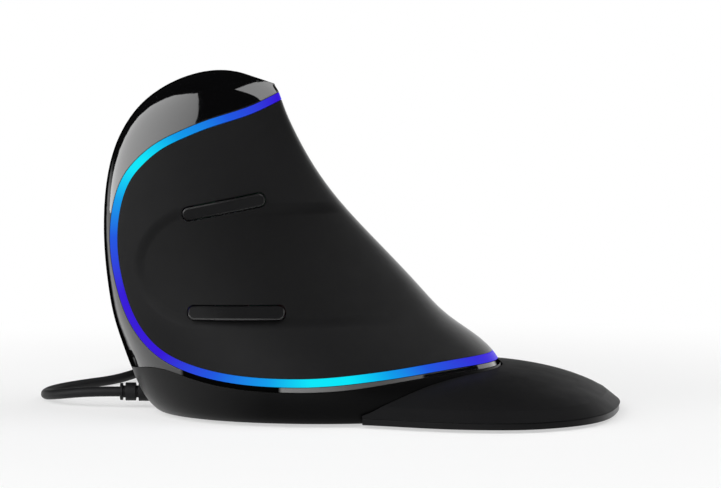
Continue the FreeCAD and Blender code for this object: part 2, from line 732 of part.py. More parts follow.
for name, low in (("left", -EAR_OUT), ("right", EAR_IN)):
    chassis_parts.append(ear(name + "_ear", CARRIER_HINGE_X, low, EAR_OUT - EAR_IN, CARRIER_HINGE_DEPTH))
chassis_cuts.append(rod("carrier_pin_bore", CARRIER_HINGE_X, -EAR_OUT - 1, -CARRIER_HINGE_DEPTH, PIN_BORE,
                        2 * EAR_OUT + 2, "Y"))
for name, (side, hinge_x, _) in (("index", INDEX_KEY), ("middle", MIDDLE_KEY)):
    for number, low in enumerate((-KEY_EAR_NEAR - KEY_EAR_THICK, KEY_EAR_NEAR)):
        chassis_parts.append(ear("%s_ear_%d" % (name, number), hinge_x,
                                 "%d * key_switch_spread + %s" % (side, low), KEY_EAR_THICK, HINGE_DEPTH))
    reach = KEY_EAR_NEAR + KEY_EAR_THICK
    chassis_cuts.append(rod(name + "_pin_bore", hinge_x, "%d * key_switch_spread - %s" % (side, reach + 1),
                            -HINGE_DEPTH, PIN_BORE, 2 * reach + 2, "Y"))
    pins.append(rod(name + "_pin", hinge_x, "%d * key_switch_spread - %s" % (side, reach), -HINGE_DEPTH,
                    "pin_diameter", 2 * reach, "Y"))
chassis_cuts.append(block("connector_window", KEY_CONNECTOR[0] - 0.6, KEY_CONNECTOR[1] - 0.6, BEHIND_CHASSIS,
                          CONNECTOR_LENGTH + 1.2, CONNECTOR_DEPTH + 1.2, THROUGH_CHASSIS))
chassis_cuts.append(block("wheel_window", -12.0, -4.4, BEHIND_CHASSIS, 24.0, 8.8, THROUGH_CHASSIS))
for number, (x, y) in enumerate(CHASSIS_POSTS["ridge"] + CHASSIS_POSTS["palm"]):
    chassis_cuts.append(rod("chassis_hole_%d" % number, x, y, BEHIND_CHASSIS, "small_screw + 0.2",
                            THROUGH_CHASSIS))
chassis_stock = cut_away("chassis_stock", fused("chassis_solid", chassis_parts), chassis_cuts, key_frame)
roomy = doc.addObject("Part::Feature", "roomy_cavity")
roomy.Shape = form(size.wall + size.strip_depth + 0.3, STATIONS[:INNER_STATIONS])
chassis = doc.addObject("Part::Common", "key_chassis")
chassis.Base, chassis.Tool = chassis_stock, roomy
keep(chassis)
pins.append(rod("carrier_pin", CARRIER_HINGE_X, -EAR_OUT, -CARRIER_HINGE_DEPTH, "pin_diameter", 2 * EAR_OUT,
                "Y"))
keep(combined("Part::Compound", "hinge_pins", pins, key_frame))

keep(cut_away("key_board", fused("key_board_solid", [
    block("board_main", -12.0, -17.0, BOARD_UNDER, 20.7, 34.5, "board_thickness"),
    block("board_heel", 8.6, 8.6, BOARD_UNDER, 8.0, 13.9, "board_thickness"),
    block("board_edge", -4.0, 17.4, BOARD_UNDER, 12.7, 5.1, "board_thickness"),
    block("board_tongue", 8.6, -4.6, BOARD_UNDER, 14.4, 9.2, "board_thickness"),
]), [block("board_window", -11.0, "-wheel_width / 2 - 0.8", BOARD_UNDER + " - 1", 22.0, "wheel_width + 1.6",
           "board_thickness + 2")], key_frame))

for name, (side, _, switch_x) in (("index", INDEX_KEY), ("middle", MIDDLE_KEY)):
    y = "%d * key_switch_spread" % side
    keep(cut_away(name + "_switch", block(name + "_case", "%s - micro_length / 2" % switch_x,
                                          y + " - micro_width / 2", BOARD_TOP, "micro_length", "micro_width",
                                          "micro_tall"),
                  [rod(name + "_well", switch_x + PLUNGER_OFFSET, y, MICRO_TOP + " - 1.9",
                       "pin_diameter + 2 * running_gap", 4.0)], key_frame))
    keep(combined("Part::Compound", name + "_plunger", [
        rod(name + "_stem", switch_x + PLUNGER_OFFSET, y, MICRO_TOP + " - 1.2", "pin_diameter",
            "1.2 + plunger_reach")], key_frame))


def tact_switch(name, x, y, frame):
    """A low square switch on its board, and the plunger that the button moves."""
    keep(cut_away(name + "_switch", block(name + "_case", "%s - tact_side / 2" % x, "%s - tact_side / 2" % y,
                                          BOARD_TOP, "tact_side", "tact_side", "tact_tall"),
                  [rod(name + "_well", x, y, TACT_TOP + " - 1.2", "tact_plunger_diameter + 2 * running_gap",
                       4.0)], frame))
    keep(combined("Part::Compound", name + "_plunger", [
        rod(name + "_stem", x, y, TACT_TOP + " - 0.6", "tact_plunger_diameter", "0.6 + tact_reach")], frame))


tact_switch("wheel", *WHEEL_SWITCH, key_frame)
tact_switch("dpi", DPI_X, 0.0, key_frame)
chassis_screws = combined("Part::Compound", "chassis_screws", [
    fused("chassis_screw_%d" % number, [
        rod("chassis_shank_%d" % number, x, y, CHASSIS_BACK, "small_screw", "chassis_thickness + 6"),
        rod("chassis_head_%d" % number, x, y, CHASSIS_BACK + " - 1.3", "small_head", 1.3)])
    for number, (x, y) in enumerate(CHASSIS_POSTS["ridge"] + CHASSIS_POSTS["palm"])], key_frame)
key_connector = combined("Part::Compound", "key_connector", [
    block("key_connector_case", KEY_CONNECTOR[0], KEY_CONNECTOR[1], BOARD_UNDER + " - 3.0", CONNECTOR_LENGTH,
          CONNECTOR_DEPTH, 3.0)], key_frame)

# The thumb's board, upright behind its shell: local Z points out through the shell

thumb_frame = FreeCAD.Placement(V(0, thumb_board_face - size.key_board_depth, 0),
                                FreeCAD.Rotation(V(1, 0, 0), 90))
thumb_x, thumb_z, thumb_long, thumb_tall = THUMB_BOARD
upper_at, lower_at = drawn(*upper_place), drawn(*lower_place)
thumb_corner = drawn(thumb_x, 0, thumb_z)
post_ats = [drawn(x, 0, z) for x, z in THUMB_POSTS]
thumb_plate = block("thumb_board_plate", thumb_corner.x, thumb_corner.z, BOARD_UNDER, thumb_long, thumb_tall,
                    "board_thickness")
keep(cut_away("thumb_board", thumb_plate, [
    rod("thumb_hole_%d" % n, at.x, at.z, BOARD_UNDER + " - 1", "small_screw + 0.2", 4.0)
    for n, at in enumerate(post_ats)], thumb_frame))
tact_switch("forward", upper_at.x, upper_at.z, thumb_frame)
tact_switch("back", lower_at.x, lower_at.z, thumb_frame)
thumb_screws = combined("Part::Compound", "thumb_screws", [
    fused("thumb_screw_%d" % n, [
        rod("thumb_shank_%d" % n, at.x, at.z, BOARD_UNDER, "small_screw", "board_thickness + 4.5"),
        rod("thumb_head_%d" % n, at.x, at.z, BOARD_UNDER + " - 1.2", "small_head", 1.2)])
    for n, at in enumerate(post_ats)], thumb_frame)

# Base, with everything that stands on its floor

FLOOR_TOP = "(floor_gap + floor_thickness)"
CASING_SCREWS = [(x, y) for x, y, _ in THUMB_SCREWS + PALM_SCREWS]
BOARD_SCREWS = [(-29.0, 8.9), (-13.0, -11.5), (11.0, -11.0), (11.0, 11.5)]
BOARD_CORNER = (-31.0, -14.5)
SENSOR_X = -17.0
LAMPS = [-11.0, -4.5, 1.5]
LAMP_LEVEL, LAMP_TALL, LAMP_DEEP = 10.3, 1.6, 1.0
LAMP_BOARD = (-14.0, 7.6, 17.5, 4.6)
RELIEF_Y = 3.0
RELIEF_TIP, RELIEF_NECK, RELIEF_END = -57.0, -51.0, -47.0
DOWELS, DOWEL_LEVEL = (-14.0, 14.0), 5.5
MAGNET_LEVEL = 5.7

magnet_start = hit(outer, drawn(0, 0, MAGNET_LEVEL), V(1, 0, 0)).x - size.wall - size.magnet_thickness - 0.2
magnet_end = magnet_start + size.magnet_thickness
relief_axis = V(0, drawn(0, RELIEF_Y, 0).y, size.cord_level)


def along_x(radius, start, end, y, z):
    return cylinder(radius, V(start, y, z), V(1, 0, 0), end - start)


foot = drawn(0, 0, POST_FOOT).z
add, remove = [], []
for x, y in CASING_SCREWS:
    add.append(cylinder(size.screw_head / 2 + 1.5, V(x, y, size.floor_gap), V(0, 0, 1),
                        foot - 0.05 - size.floor_gap).common(form(0.5)))
    remove.append(cylinder(size.screw_head / 2 + 0.3, V(x, y, 0), V(0, 0, 1), size.floor_gap + 2.8))
    remove.append(cylinder(size.screw_diameter / 2 + 0.15, V(x, y, 0), V(0, 0, 1), foot + 1))
for x, y in BOARD_SCREWS:
    add.append(cylinder(size.small_screw / 2 + 1.3, V(x, y, size.floor_gap), V(0, 0, 1),
                        size.main_board_level - size.floor_gap))
    remove.append(cylinder(size.small_screw / 2 + 0.05, V(x, y, floor_top), V(0, 0, 1),
                           size.main_board_level))
for y in DOWELS:
    add.append(along_x(size.dowel_diameter / 2 + 1.8, 25.0, 40.0, y, DOWEL_LEVEL).common(form(0.5)))
    remove.append(along_x(size.dowel_diameter / 2 + size.running_gap, 20.0, 40.0, y, DOWEL_LEVEL))
add.append(along_x(size.magnet_diameter / 2 + 1.4, magnet_start, 40.0, 0, MAGNET_LEVEL).common(form(0.5)))
remove.append(along_x(size.magnet_diameter / 2 + 0.1, magnet_start - 1, magnet_end + 0.1, 0, MAGNET_LEVEL))
remove.append(box_between((SENSOR_X - 4.5, -3.5, -1), (SENSOR_X + 4.5, 3.5, floor_top + 1)))
remove.append(along_x(size.relief_diameter / 2 + 0.1, -80.0, RELIEF_END + 0.1, relief_axis.y, relief_axis.z))
remove.append(along_x(size.relief_diameter / 2 + 0.4, RELIEF_END - 1.3, RELIEF_END + 0.1, relief_axis.y,
                      relief_axis.z))

guide_inner = form(size.wall + size.strip_depth, STATIONS[:INNER_STATIONS])
lamp_face = max(hit(guide_inner, drawn(x, 0, LAMP_LEVEL), V(0, -1, 0)).y for x in LAMPS) + 0.6
lamp_back = lamp_face + LAMP_DEEP + 0.8
lamp_level = drawn(0, 0, LAMP_LEVEL).z
for x in (LAMP_BOARD[0] + 3, LAMP_BOARD[0] + LAMP_BOARD[2] - 5):
    add.append(box_between((x, lamp_back + 0.05, size.floor_gap), (x + 2, lamp_back + 2.0, lamp_level + 1.0)))
base = base_region
for solid in add:
    base = base.fuse(solid)
base = base.cut(remove)
for x, y, _ in THUMB_SCREWS:
    base = base.cut(cylinder(size.post_diameter / 2 + size.seam_gap, V(x, y, foot - 0.05), V(0, 0, 1), 20.0))
shaped("base_shell", base)

keep(cut_away("main_board", block("main_plate", BOARD_CORNER[0], BOARD_CORNER[1], "main_board_level",
                                  "main_board_length", "main_board_width", "board_thickness"),
              [rod("main_hole_%d" % n, x, y, "main_board_level - 1", "small_screw + 0.2", 4.0)
               for n, (x, y) in enumerate(BOARD_SCREWS)]
              + [block("main_window", SENSOR_X - 4.0, -3.0, "main_board_level - 1", 8.0, 6.0, 4.0)]))
main_screws = [
    fused("main_screw_%d" % n, [
        rod("main_shank_%d" % n, x, y, FLOOR_TOP + " + 0.3", "small_screw",
            "main_board_level + board_thickness - floor_gap - floor_thickness - 0.3"),
        rod("main_head_%d" % n, x, y, "main_board_level + board_thickness", "small_head", 1.2)])
    for n, (x, y) in enumerate(BOARD_SCREWS)]
keep(combined("Part::Compound", "board_screws", [chassis_screws, thumb_screws] + main_screws))
keep(combined("Part::Compound", "casing_screws", [
    fused("casing_screw_%d" % n, [
        rod("casing_shank_%d" % n, x, y, "floor_gap + 2.8", "screw_diameter", 14.0),
        rod("casing_head_%d" % n, x, y, "floor_gap + 1.2", "screw_head", 1.6)])
    for n, (x, y) in enumerate(CASING_SCREWS)]))

BOARD_FACE = "(main_board_level + board_thickness + board_gap)"
keep(fused("sensor_lens", [
    block("lens_plate", SENSOR_X - 9.0, -6.0, FLOOR_TOP + " + board_gap", 18.0, 12.0,
          "main_board_level - floor_gap - floor_thickness - 2 * board_gap"),
    rod("lens_eye", SENSOR_X, 0, "floor_gap + 0.6", 5.6, 3.0)]))
keep(combined("Part::Compound", "sensor_chip", [
    block("sensor_case", SENSOR_X - 5.0, -5.0, BOARD_FACE, 10.0, 10.0, 2.7)]))
keep(combined("Part::Compound", "sensor_lamp", [
    rod("lamp_bulb", SENSOR_X + 6.5, 0, BOARD_FACE + " + 2.3", 4.6, 8.0, "X")]))
keep(combined("Part::Compound", "controller_chip", [
    block("controller_case", -1.0, 2.0, BOARD_FACE, 9.0, 9.0, 1.2)]))
cord_socket = block("cord_socket", -28.5, RELIEF_Y - 4.0, BOARD_FACE, 5.0, 8.0, 4.0)
lamp_board = doc.addObject("Part::Common", "lamp_board")
lamp_board.Base = block("lamp_plate", LAMP_BOARD[0], lamp_face + LAMP_DEEP, LAMP_BOARD[1], LAMP_BOARD[2], 0.8,
                        LAMP_BOARD[3])
lamp_board.Tool = roomy
keep(lamp_board)
keep(combined("Part::Compound", "strip_lamps", [
    block("strip_lamp_%d" % n, drawn(x, 0, 0).x - 1.6, lamp_face, lamp_level - LAMP_TALL / 2, 3.2, LAMP_DEEP,
          LAMP_TALL) for n, x in enumerate(LAMPS)]))

# Ribbons down to the main board, and the inner lead up to it

THUMB_RIBBON = (-27.0, 7.0)
RIBBON_THICK = 0.5
board_face = size.main_board_level + size.board_thickness + size.board_gap
SOCKET_TALL = 3.0
thumb_back = thumb_board_face + size.board_thickness
socket_low = thumb_corner.z + 1.0
thumb_sockets = [
    block("thumb_socket", THUMB_RIBBON[0], thumb_back, socket_low, THUMB_RIBBON[1], 2.6, 3.2),
    block("thumb_main_socket", THUMB_RIBBON[0], thumb_back - 0.6, BOARD_FACE, THUMB_RIBBON[1], 3.6,
          SOCKET_TALL)]
thumb_ribbon = block("thumb_ribbon", THUMB_RIBBON[0] + 0.6, thumb_back + 1.0, board_face + SOCKET_TALL + 0.05,
                     THUMB_RIBBON[1] - 1.2, RIBBON_THICK, socket_low - board_face - SOCKET_TALL - 0.1)

key_plug = key_frame.multVec(V(
    KEY_CONNECTOR[0] + CONNECTOR_LENGTH / 2, KEY_CONNECTOR[1] + CONNECTOR_DEPTH / 2,
    board_top - size.board_thickness - 3.0))
flat_frame = FreeCAD.Placement(V(key_plug.x, key_plug.y, 0), FreeCAD.Rotation(V(0, 0, 1), size.key_yaw))
key_socket = combined("Part::Compound", "key_socket", [
    block("key_socket_case", -CONNECTOR_LENGTH / 2, -1.8, BOARD_FACE, CONNECTOR_LENGTH, 3.6, SOCKET_TALL)],
    flat_frame)
key_ribbon = doc.addObject("Part::Cut", "key_ribbon")
ribbon_stock = block("ribbon_stock", -CONNECTOR_LENGTH / 2 + 0.6, -RIBBON_THICK / 2,
                     board_face + SOCKET_TALL + 0.05, CONNECTOR_LENGTH - 1.2, RIBBON_THICK, 30.0)
key_ribbon.Base = combined("Part::Compound", "ribbon_upright", [ribbon_stock], flat_frame)
key_ribbon.Tool = combined("Part::Compound", "ribbon_limit", [
    block("ribbon_limit_box", -20.0, -10.0, BOARD_UNDER + " - 3.05", 60.0, 60.0, 60.0)], key_frame)
keep(combined("Part::Compound", "board_connectors", [key_connector, key_socket, cord_socket] + thumb_sockets))
keep(combined("Part::Compound", "ribbons", [thumb_ribbon, key_ribbon]))


def tube(points, diameter):
    """A round tube along straight runs joined by tangent arcs, and its length and tightest bend."""
    corners = [V(*point) for point in points]
    edges, at, tightest = [], corners[0], FAR
    for before, corner, after in zip(corners, corners[1:], corners[2:]):
        into, out = (corner - before).normalize(), (after - corner).normalize()
        turn = into.getAngle(out)
        back = 0.45 * min((corner - before).Length, (after - corner).Length)
        start, end = corner - into * back, corner + out * back
        radius = back / math.tan(turn / 2)
        tightest = min(tightest, radius)
        middle = corner + (out - into).normalize() * (radius / math.cos(turn / 2) - radius)
        edges += [Part.makeLine(at, start), Part.Arc(start, middle, end).toShape()]
        at = end
    edges.append(Part.makeLine(at, corners[-1]))
    path = Part.Wire(edges)
    return swept(path, corners[0], (corners[1] - corners[0]).normalize(), diameter), path.Length, tightest


def swept(path, start, direction, diameter):
    ring = Part.Wire(Part.makeCircle(diameter / 2, start, direction))
    return path.makePipeShell([ring], True, False)


def free_tube(label, points, diameter):
    """A cord along its route, with its length, its tightest bend and its volume beside its section's run."""
    solid, length, tightest = tube(points, diameter)
    print(label, "length", round(length, 1), "tightest radius", round(tightest, 1), "volume ratio",
          round(solid.Volume / (math.pi * diameter ** 2 / 4 * length), 4))
    shaped(label, solid)
    return length


INNER_LEAD = [(RELIEF_END, relief_axis.y, relief_axis.z), (-41.5, relief_axis.y, relief_axis.z),
              (-34.0, relief_axis.y, board_face + 2.0), (-28.5, relief_axis.y, board_face + 2.0)]
INNER_LEAD_DIAMETER = 1.8
free_tube("inner_lead", INNER_LEAD, INNER_LEAD_DIAMETER)

# Strain relief: core, rings and collar along the cord's exit

RELIEF_RINGS = [(-57.0, 0.6, -0.4), (-55.7, 2.4, -0.2), (-52.6, 1.5, 0.0), (-51.1, 3.2, 0.0),
                (RELIEF_END - 1.2, 1.2, 0.6)]
keep(fused("strain_relief", [
    rod("relief_core", RELIEF_TIP, relief_axis.y, "cord_level", "cord_diameter + 0.5",
        RELIEF_END - RELIEF_TIP, "X"),
    rod("relief_neck", RELIEF_NECK, relief_axis.y, "cord_level", "relief_diameter - 0.1",
        RELIEF_END - RELIEF_NECK, "X"),
] + [
    rod("relief_ring_%d" % n, x, relief_axis.y, "cord_level", "relief_diameter + %s" % (grow - 0.1), wide,
        "X")
    for n, (x, wide, grow) in enumerate(RELIEF_RINGS)]))

# The cord: its lead, a piled coil held by a tie, its tail and the plug

REST_LEVEL = size.cord_diameter / 2
TIE_THICKNESS = 0.9
COIL_CENTRE = (-36.0, 66.0)
COIL_LAYERS, COIL_HALF_TURNS = 4, 8
coil_low = TIE_THICKNESS + REST_LEVEL
coil_step = size.coil_pitch / 2
coil_outer = size.coil_mean_diameter / 2 + COIL_HALF_TURNS * coil_step / 2
coil_left = COIL_CENTRE[0] - coil_outer
stub = size.cord_diameter
LEAD = [(RELIEF_TIP, relief_axis.y, relief_axis.z), (-64.5, relief_axis.y, relief_axis.z), (-73.0, 7.5, 2.6),
        (-77.0, 17.0, 1.4), (-76.0, 28.5, REST_LEVEL), (-70.0, 39.5, REST_LEVEL), (-62.5, 48.5, REST_LEVEL),
        (coil_left, 56.5, coil_low), (coil_left, COIL_CENTRE[1] - stub, coil_low)]
cord_length = free_tube("usb_lead", LEAD, size.cord_diameter)


def coil_points():
    """Where each half turn of the coil starts, from its left; each is one level or climbing half circle."""
    points, radius, level, side = [], coil_outer, coil_low, -1
    for layer in range(COIL_LAYERS):
        inward = -1 if layer % 2 == 0 else 1
        for _ in range(COIL_HALF_TURNS):
            points.append(V(COIL_CENTRE[0] + side * radius, COIL_CENTRE[1], level))
            radius += inward * coil_step
            side = -side
        points.append(V(COIL_CENTRE[0] + side * radius, COIL_CENTRE[1], level))
        level += size.coil_layer
        side = -side
    return points


half_turns = coil_points()
coil_edges = [Part.makeLine(half_turns[0] - V(0, stub, 0), half_turns[0])]
arcs = []
for number, (start, end) in enumerate(zip(half_turns, half_turns[1:])):
    ahead_way = V(0, 1 if number % 2 == 0 else -1, 0)
    top = (start + end) * 0.5 + ahead_way * ((end - start).Length / 2)
    arcs.append(Part.Arc(start, top, end))
last = arcs.pop()
coil_edges += [arc.toShape() for arc in arcs]
quarter = last.toShape()
middle = 0.5 * (quarter.FirstParameter + quarter.LastParameter)
leave = quarter.valueAt(middle)
coil_edges.append(Part.Arc(quarter.valueAt(quarter.FirstParameter),
                           quarter.valueAt(0.5 * (quarter.FirstParameter + middle)), leave).toShape())
coil_edges.append(Part.makeLine(leave, leave + V(stub, 0, 0)))
coil_path = Part.Wire(coil_edges)
coil = swept(coil_path, half_turns[0] - V(0, stub, 0), V(0, 1, 0), size.cord_diameter)
shaped("usb_coil", coil)

SAMPLE_STEP = 1.0
samples = coil_path.discretize(Distance=SAMPLE_STEP)
apart = int(4 * size.cord_diameter / SAMPLE_STEP)
least = min((samples[i] - samples[k]).Length
            for i in range(len(samples)) for k in range(i + apart, len(samples)))
print("usb_coil length", round(coil_path.Length, 1), "least gap", round(least - size.cord_diameter, 2),
      "volume ratio", round(coil.Volume / (math.pi * size.cord_diameter ** 2 / 4 * coil_path.Length), 4))

PLUG_START, PLUG_Y, PLUG_LEVEL = -3.0, 83.0, 3.8
TAIL = [(leave.x + stub, leave.y, leave.z), (leave.x + stub + 7.3, leave.y, leave.z), (-16.5, 84.8, 6.6),
        (-9.5, PLUG_Y, PLUG_LEVEL), (PLUG_START, PLUG_Y, PLUG_LEVEL)]
tail_length = free_tube("usb_tail", TAIL, size.cord_diameter)
print("whole cord", round(cord_length + coil_path.Length + tail_length))

TIE_WIDTH, TIE_ROOM = 4.0, 0.3
coil_high = coil_low + (COIL_LAYERS - 1) * size.coil_layer + REST_LEVEL
hole_radius = coil_outer - COIL_HALF_TURNS * coil_step - REST_LEVEL
band_near = math.sqrt(hole_radius ** 2 - (TIE_WIDTH / 2) ** 2) - TIE_ROOM
band_far = coil_outer + REST_LEVEL + TIE_ROOM
tie_outside = block("tie_outside", COIL_CENTRE[0] - TIE_WIDTH / 2, COIL_CENTRE[1] - band_far - TIE_THICKNESS,
                    0, TIE_WIDTH, band_far - band_near + 2 * TIE_THICKNESS,
                    coil_high + TIE_ROOM + TIE_THICKNESS)
tie_inside = block("tie_inside", COIL_CENTRE[0] - TIE_WIDTH, COIL_CENTRE[1] - band_far, TIE_THICKNESS,
                   2 * TIE_WIDTH, band_far - band_near, coil_high + TIE_ROOM - TIE_THICKNESS)
keep(cut_away("cord_tie", tie_outside, [tie_inside]))

PLUG_LONG, PLUG_WIDE, PLUG_TALL = 18.0, 15.5, 7.6
SHELL_LONG, SHELL_WIDE, SHELL_TALL, SHELL_WALL = 12.2, 12.0, 4.5, 0.35


def rounded_block(name, x, y, z, length, width, height, edges, radius):
    """A box with some of its edges rounded."""
    item = doc.addObject("Part::Fillet", name)
    item.Base = block(name + "_box", x, y, z, length, width, height)
    item.Edges = [(edge, radius, radius) for edge in edges]
    return item


ALONG_X = (9, 10, 11, 12)
plug_side, plug_low = PLUG_Y - PLUG_WIDE / 2, PLUG_LEVEL - PLUG_TALL / 2
keep(rounded_block("plug_body", PLUG_START, plug_side, plug_low, PLUG_LONG, PLUG_WIDE, PLUG_TALL, ALONG_X,
                   1.6))
shell_start = PLUG_START + PLUG_LONG
shell_side, shell_low = PLUG_Y - SHELL_WIDE / 2, PLUG_LEVEL - SHELL_TALL / 2
shell_outside = block("shell_outside", shell_start, shell_side, shell_low, SHELL_LONG, SHELL_WIDE, SHELL_TALL)
shell_inside = block("shell_inside", shell_start - 1, shell_side + SHELL_WALL, shell_low + SHELL_WALL,
                     SHELL_LONG + 2, SHELL_WIDE - 2 * SHELL_WALL, SHELL_TALL - 2 * SHELL_WALL)
keep(cut_away("plug_shell", shell_outside, [shell_inside]))
keep(combined("Part::Compound", "plug_insert", [
    block("insert_tongue", shell_start, shell_side + SHELL_WALL + 0.05, shell_low + SHELL_WALL + 0.05,
          SHELL_LONG - 0.8, SHELL_WIDE - 2 * SHELL_WALL - 0.1, 1.8)]))

# Glides under the base

GLIDES = {
    "front_glide": (-41.0, -7.0, 7.0, 22.0),
    "left_glide": (13.0, -21.0, 13.0, 9.0),
    "right_glide": (13.0, 12.0, 13.0, 9.0),
}
UPRIGHT_EDGES = (1, 3, 5, 7)
keep(combined("Part::Compound", "base_glides", [
    rounded_block(name, x, y, 0, length, width, "floor_gap", UPRIGHT_EDGES, 2.5)
    for name, (x, y, length, width) in GLIDES.items()]))

# Palm rest: a crowned cover on a plinth, round the tail of the body

REST_OUTLINE = [
    (0.0, -33.6), (8.8, -37.0), (17.6, -40.3), (28.0, -42.2), (36.5, -41.8), (44.6, -38.4), (50.6, -33.6),
    (55.2, -27.0), (59.3, -14.5), (61.3, 2.0), (59.0, 17.0), (52.5, 30.0), (42.0, 38.5), (28.0, 41.5),
    (12.0, 41.5), (-2.0, 38.5), (-24.0, 24.0), (-30.0, 0.0), (-22.0, -25.0),
]
REST_TAIL = 61.3
REST_MIDDLE = (15.0, -1.0)
# Height above the desk and share of the outline, from the plinth's top to the hidden middle.
REST_BEVEL = [(2.3, 1.0), (4.9, 0.93)]
REST_CROWN = [(4.9, 0.93), (7.6, 0.80), (9.95, 0.60), (11.1, 0.39), (11.6, 0.16)]
REST_FRONT = 0.4
REST_SCREWS = [(46.0, -20.0), (47.0, 18.0)]
REST_PADS = [(50.0, -10.0), (50.0, 9.0)]


def rest_ring(level, share, inset=0.0):
    """The rest's outline at a level, scaled about its middle and drawn in by inset."""
    share -= inset / REST_TAIL
    middle_x, middle_y = REST_MIDDLE
    points = [V(middle_x + (x - middle_x) * share, middle_y + (y - middle_y) * share, level)
              for x, y in REST_OUTLINE]
    curve = Part.BSplineCurve()
    curve.interpolate(points, PeriodicFlag=True)
    return Part.Wire(curve.toShape())


def rest_form(inset=0.0):
    (low, low_share), (crease, crease_share) = REST_BEVEL
    bevel = Part.makeLoft([rest_ring(low, low_share, inset), rest_ring(crease - inset, crease_share, inset)],
                          True, True)
    crown = Part.makeLoft([rest_ring(z - inset, share, inset) for z, share in REST_CROWN], True, False)
    return bevel.fuse(crown)


ahead = box_between((-FAR, -FAR, -FAR), (REST_FRONT, FAR, FAR))
body_room = form(-size.rest_gap)
plinth_top = size.floor_gap + size.plinth_height
rest_shape = rest_form()
behind_front = box_between((-FAR, -FAR, -FAR), (REST_FRONT + size.rest_wall, FAR, FAR))
hollow = rest_form(size.rest_wall).cut([form(-size.rest_gap - size.rest_wall), behind_front])
cover = rest_shape.cut([hollow, ahead, body_room])
under_crown = rest_form(size.rest_wall * 0.5)
add = [along_x(size.dowel_diameter / 2, 27.0, 35.0, y, DOWEL_LEVEL) for y in DOWELS]
cup_start = magnet_end + 0.2 + size.wall + size.rest_gap + 0.5
cup_end = cup_start + size.magnet_thickness + 1.0
add.append(along_x(size.magnet_diameter / 2 + 1.4, cup_start, cup_end, 0, MAGNET_LEVEL).common(under_crown))
for x, y in REST_SCREWS:
    add.append(cylinder(2.4, V(x, y, plinth_top + 0.05), V(0, 0, 1), 12.0).common(under_crown))
for solid in add:
    cover = cover.fuse(solid)
remove = [cylinder(size.small_screw / 2 + 0.05, V(x, y, 0), V(0, 0, 1), 7.0) for x, y in REST_SCREWS]
remove.append(along_x(size.magnet_diameter / 2 + 0.1, cup_start + 0.9, cup_end + 4.0, 0, MAGNET_LEVEL))
cover = cover.cut(remove)
shaped("palm_rest_cover", cover)
plinth = Part.Face(rest_ring(size.floor_gap, 0.995)).extrude(V(0, 0, size.plinth_height - 0.05))
plinth = plinth.cut([ahead, body_room] + [
    cylinder(size.small_screw / 2 + 0.1, V(x, y, 0), V(0, 0, 1), 7.0) for x, y in REST_SCREWS] + [
    cylinder(size.small_head / 2 + 0.2, V(x, y, 0), V(0, 0, 1), size.floor_gap + 0.7)
    for x, y in REST_SCREWS])
shaped("palm_rest_plinth", plinth)
keep(combined("Part::Compound", "rest_screws", [
    fused("rest_screw_%d" % n, [
        rod("rest_shank_%d" % n, x, y, "floor_gap + 0.6", "small_screw", 4.8),
        rod("rest_head_%d" % n, x, y, "floor_gap", "small_head", 0.6)])
    for n, (x, y) in enumerate(REST_SCREWS)]))
keep(combined("Part::Compound", "rest_glides", [
    rod("rest_pad_%d" % n, x, y, 0, "rest_pad_diameter", "floor_gap") for n, (x, y) in enumerate(REST_PADS)]))
keep(combined("Part::Compound", "base_magnet", [
    rod("base_magnet_disc", magnet_start, 0, MAGNET_LEVEL, "magnet_diameter", "magnet_thickness", "X")]))
keep(combined("Part::Compound", "rest_magnet", [
    rod("rest_magnet_disc", cup_start + 1.0, 0, MAGNET_LEVEL, "magnet_diameter", "magnet_thickness", "X")]))

doc.recompute()
failed = [item.Label for item in doc.Objects if "Invalid" in item.State or "Error" in item.State]
failed += [item.Label for item in nodes if item.Shape.isNull() or not item.Shape.isValid()]
if failed:
    raise RuntimeError("not built: " + ", ".join(failed))
for item in nodes:
    item.Shape.exportStep("parts/%s.step" % item.Label)
    print(item.Label, "solids", len(item.Shape.Solids), "volume", round(item.Shape.Volume, 1))
print(len(nodes), "pieces")
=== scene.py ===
import json
import math

import bpy
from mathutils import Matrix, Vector


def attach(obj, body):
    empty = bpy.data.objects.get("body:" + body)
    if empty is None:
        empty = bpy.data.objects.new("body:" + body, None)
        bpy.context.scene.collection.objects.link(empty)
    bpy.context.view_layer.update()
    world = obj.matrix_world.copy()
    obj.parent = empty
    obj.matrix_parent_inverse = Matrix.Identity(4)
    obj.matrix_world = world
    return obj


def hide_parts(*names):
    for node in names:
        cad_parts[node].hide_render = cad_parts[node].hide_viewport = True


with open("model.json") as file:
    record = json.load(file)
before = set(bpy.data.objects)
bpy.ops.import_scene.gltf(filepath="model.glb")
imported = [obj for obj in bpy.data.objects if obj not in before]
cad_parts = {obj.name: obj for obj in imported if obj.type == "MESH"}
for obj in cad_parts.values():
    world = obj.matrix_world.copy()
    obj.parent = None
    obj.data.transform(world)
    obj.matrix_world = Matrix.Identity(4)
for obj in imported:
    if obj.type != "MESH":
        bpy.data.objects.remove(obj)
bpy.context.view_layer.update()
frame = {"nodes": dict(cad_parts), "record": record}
nodes = frame["nodes"]
scene = bpy.context.scene

# Lengths are in metres. The nose points to -X, the thumb's side to -Y, and the desk is at Z = 0.

# Camera: the photograph looks at the thumb's side, a little from above. Sensor and lens are in millimetres.

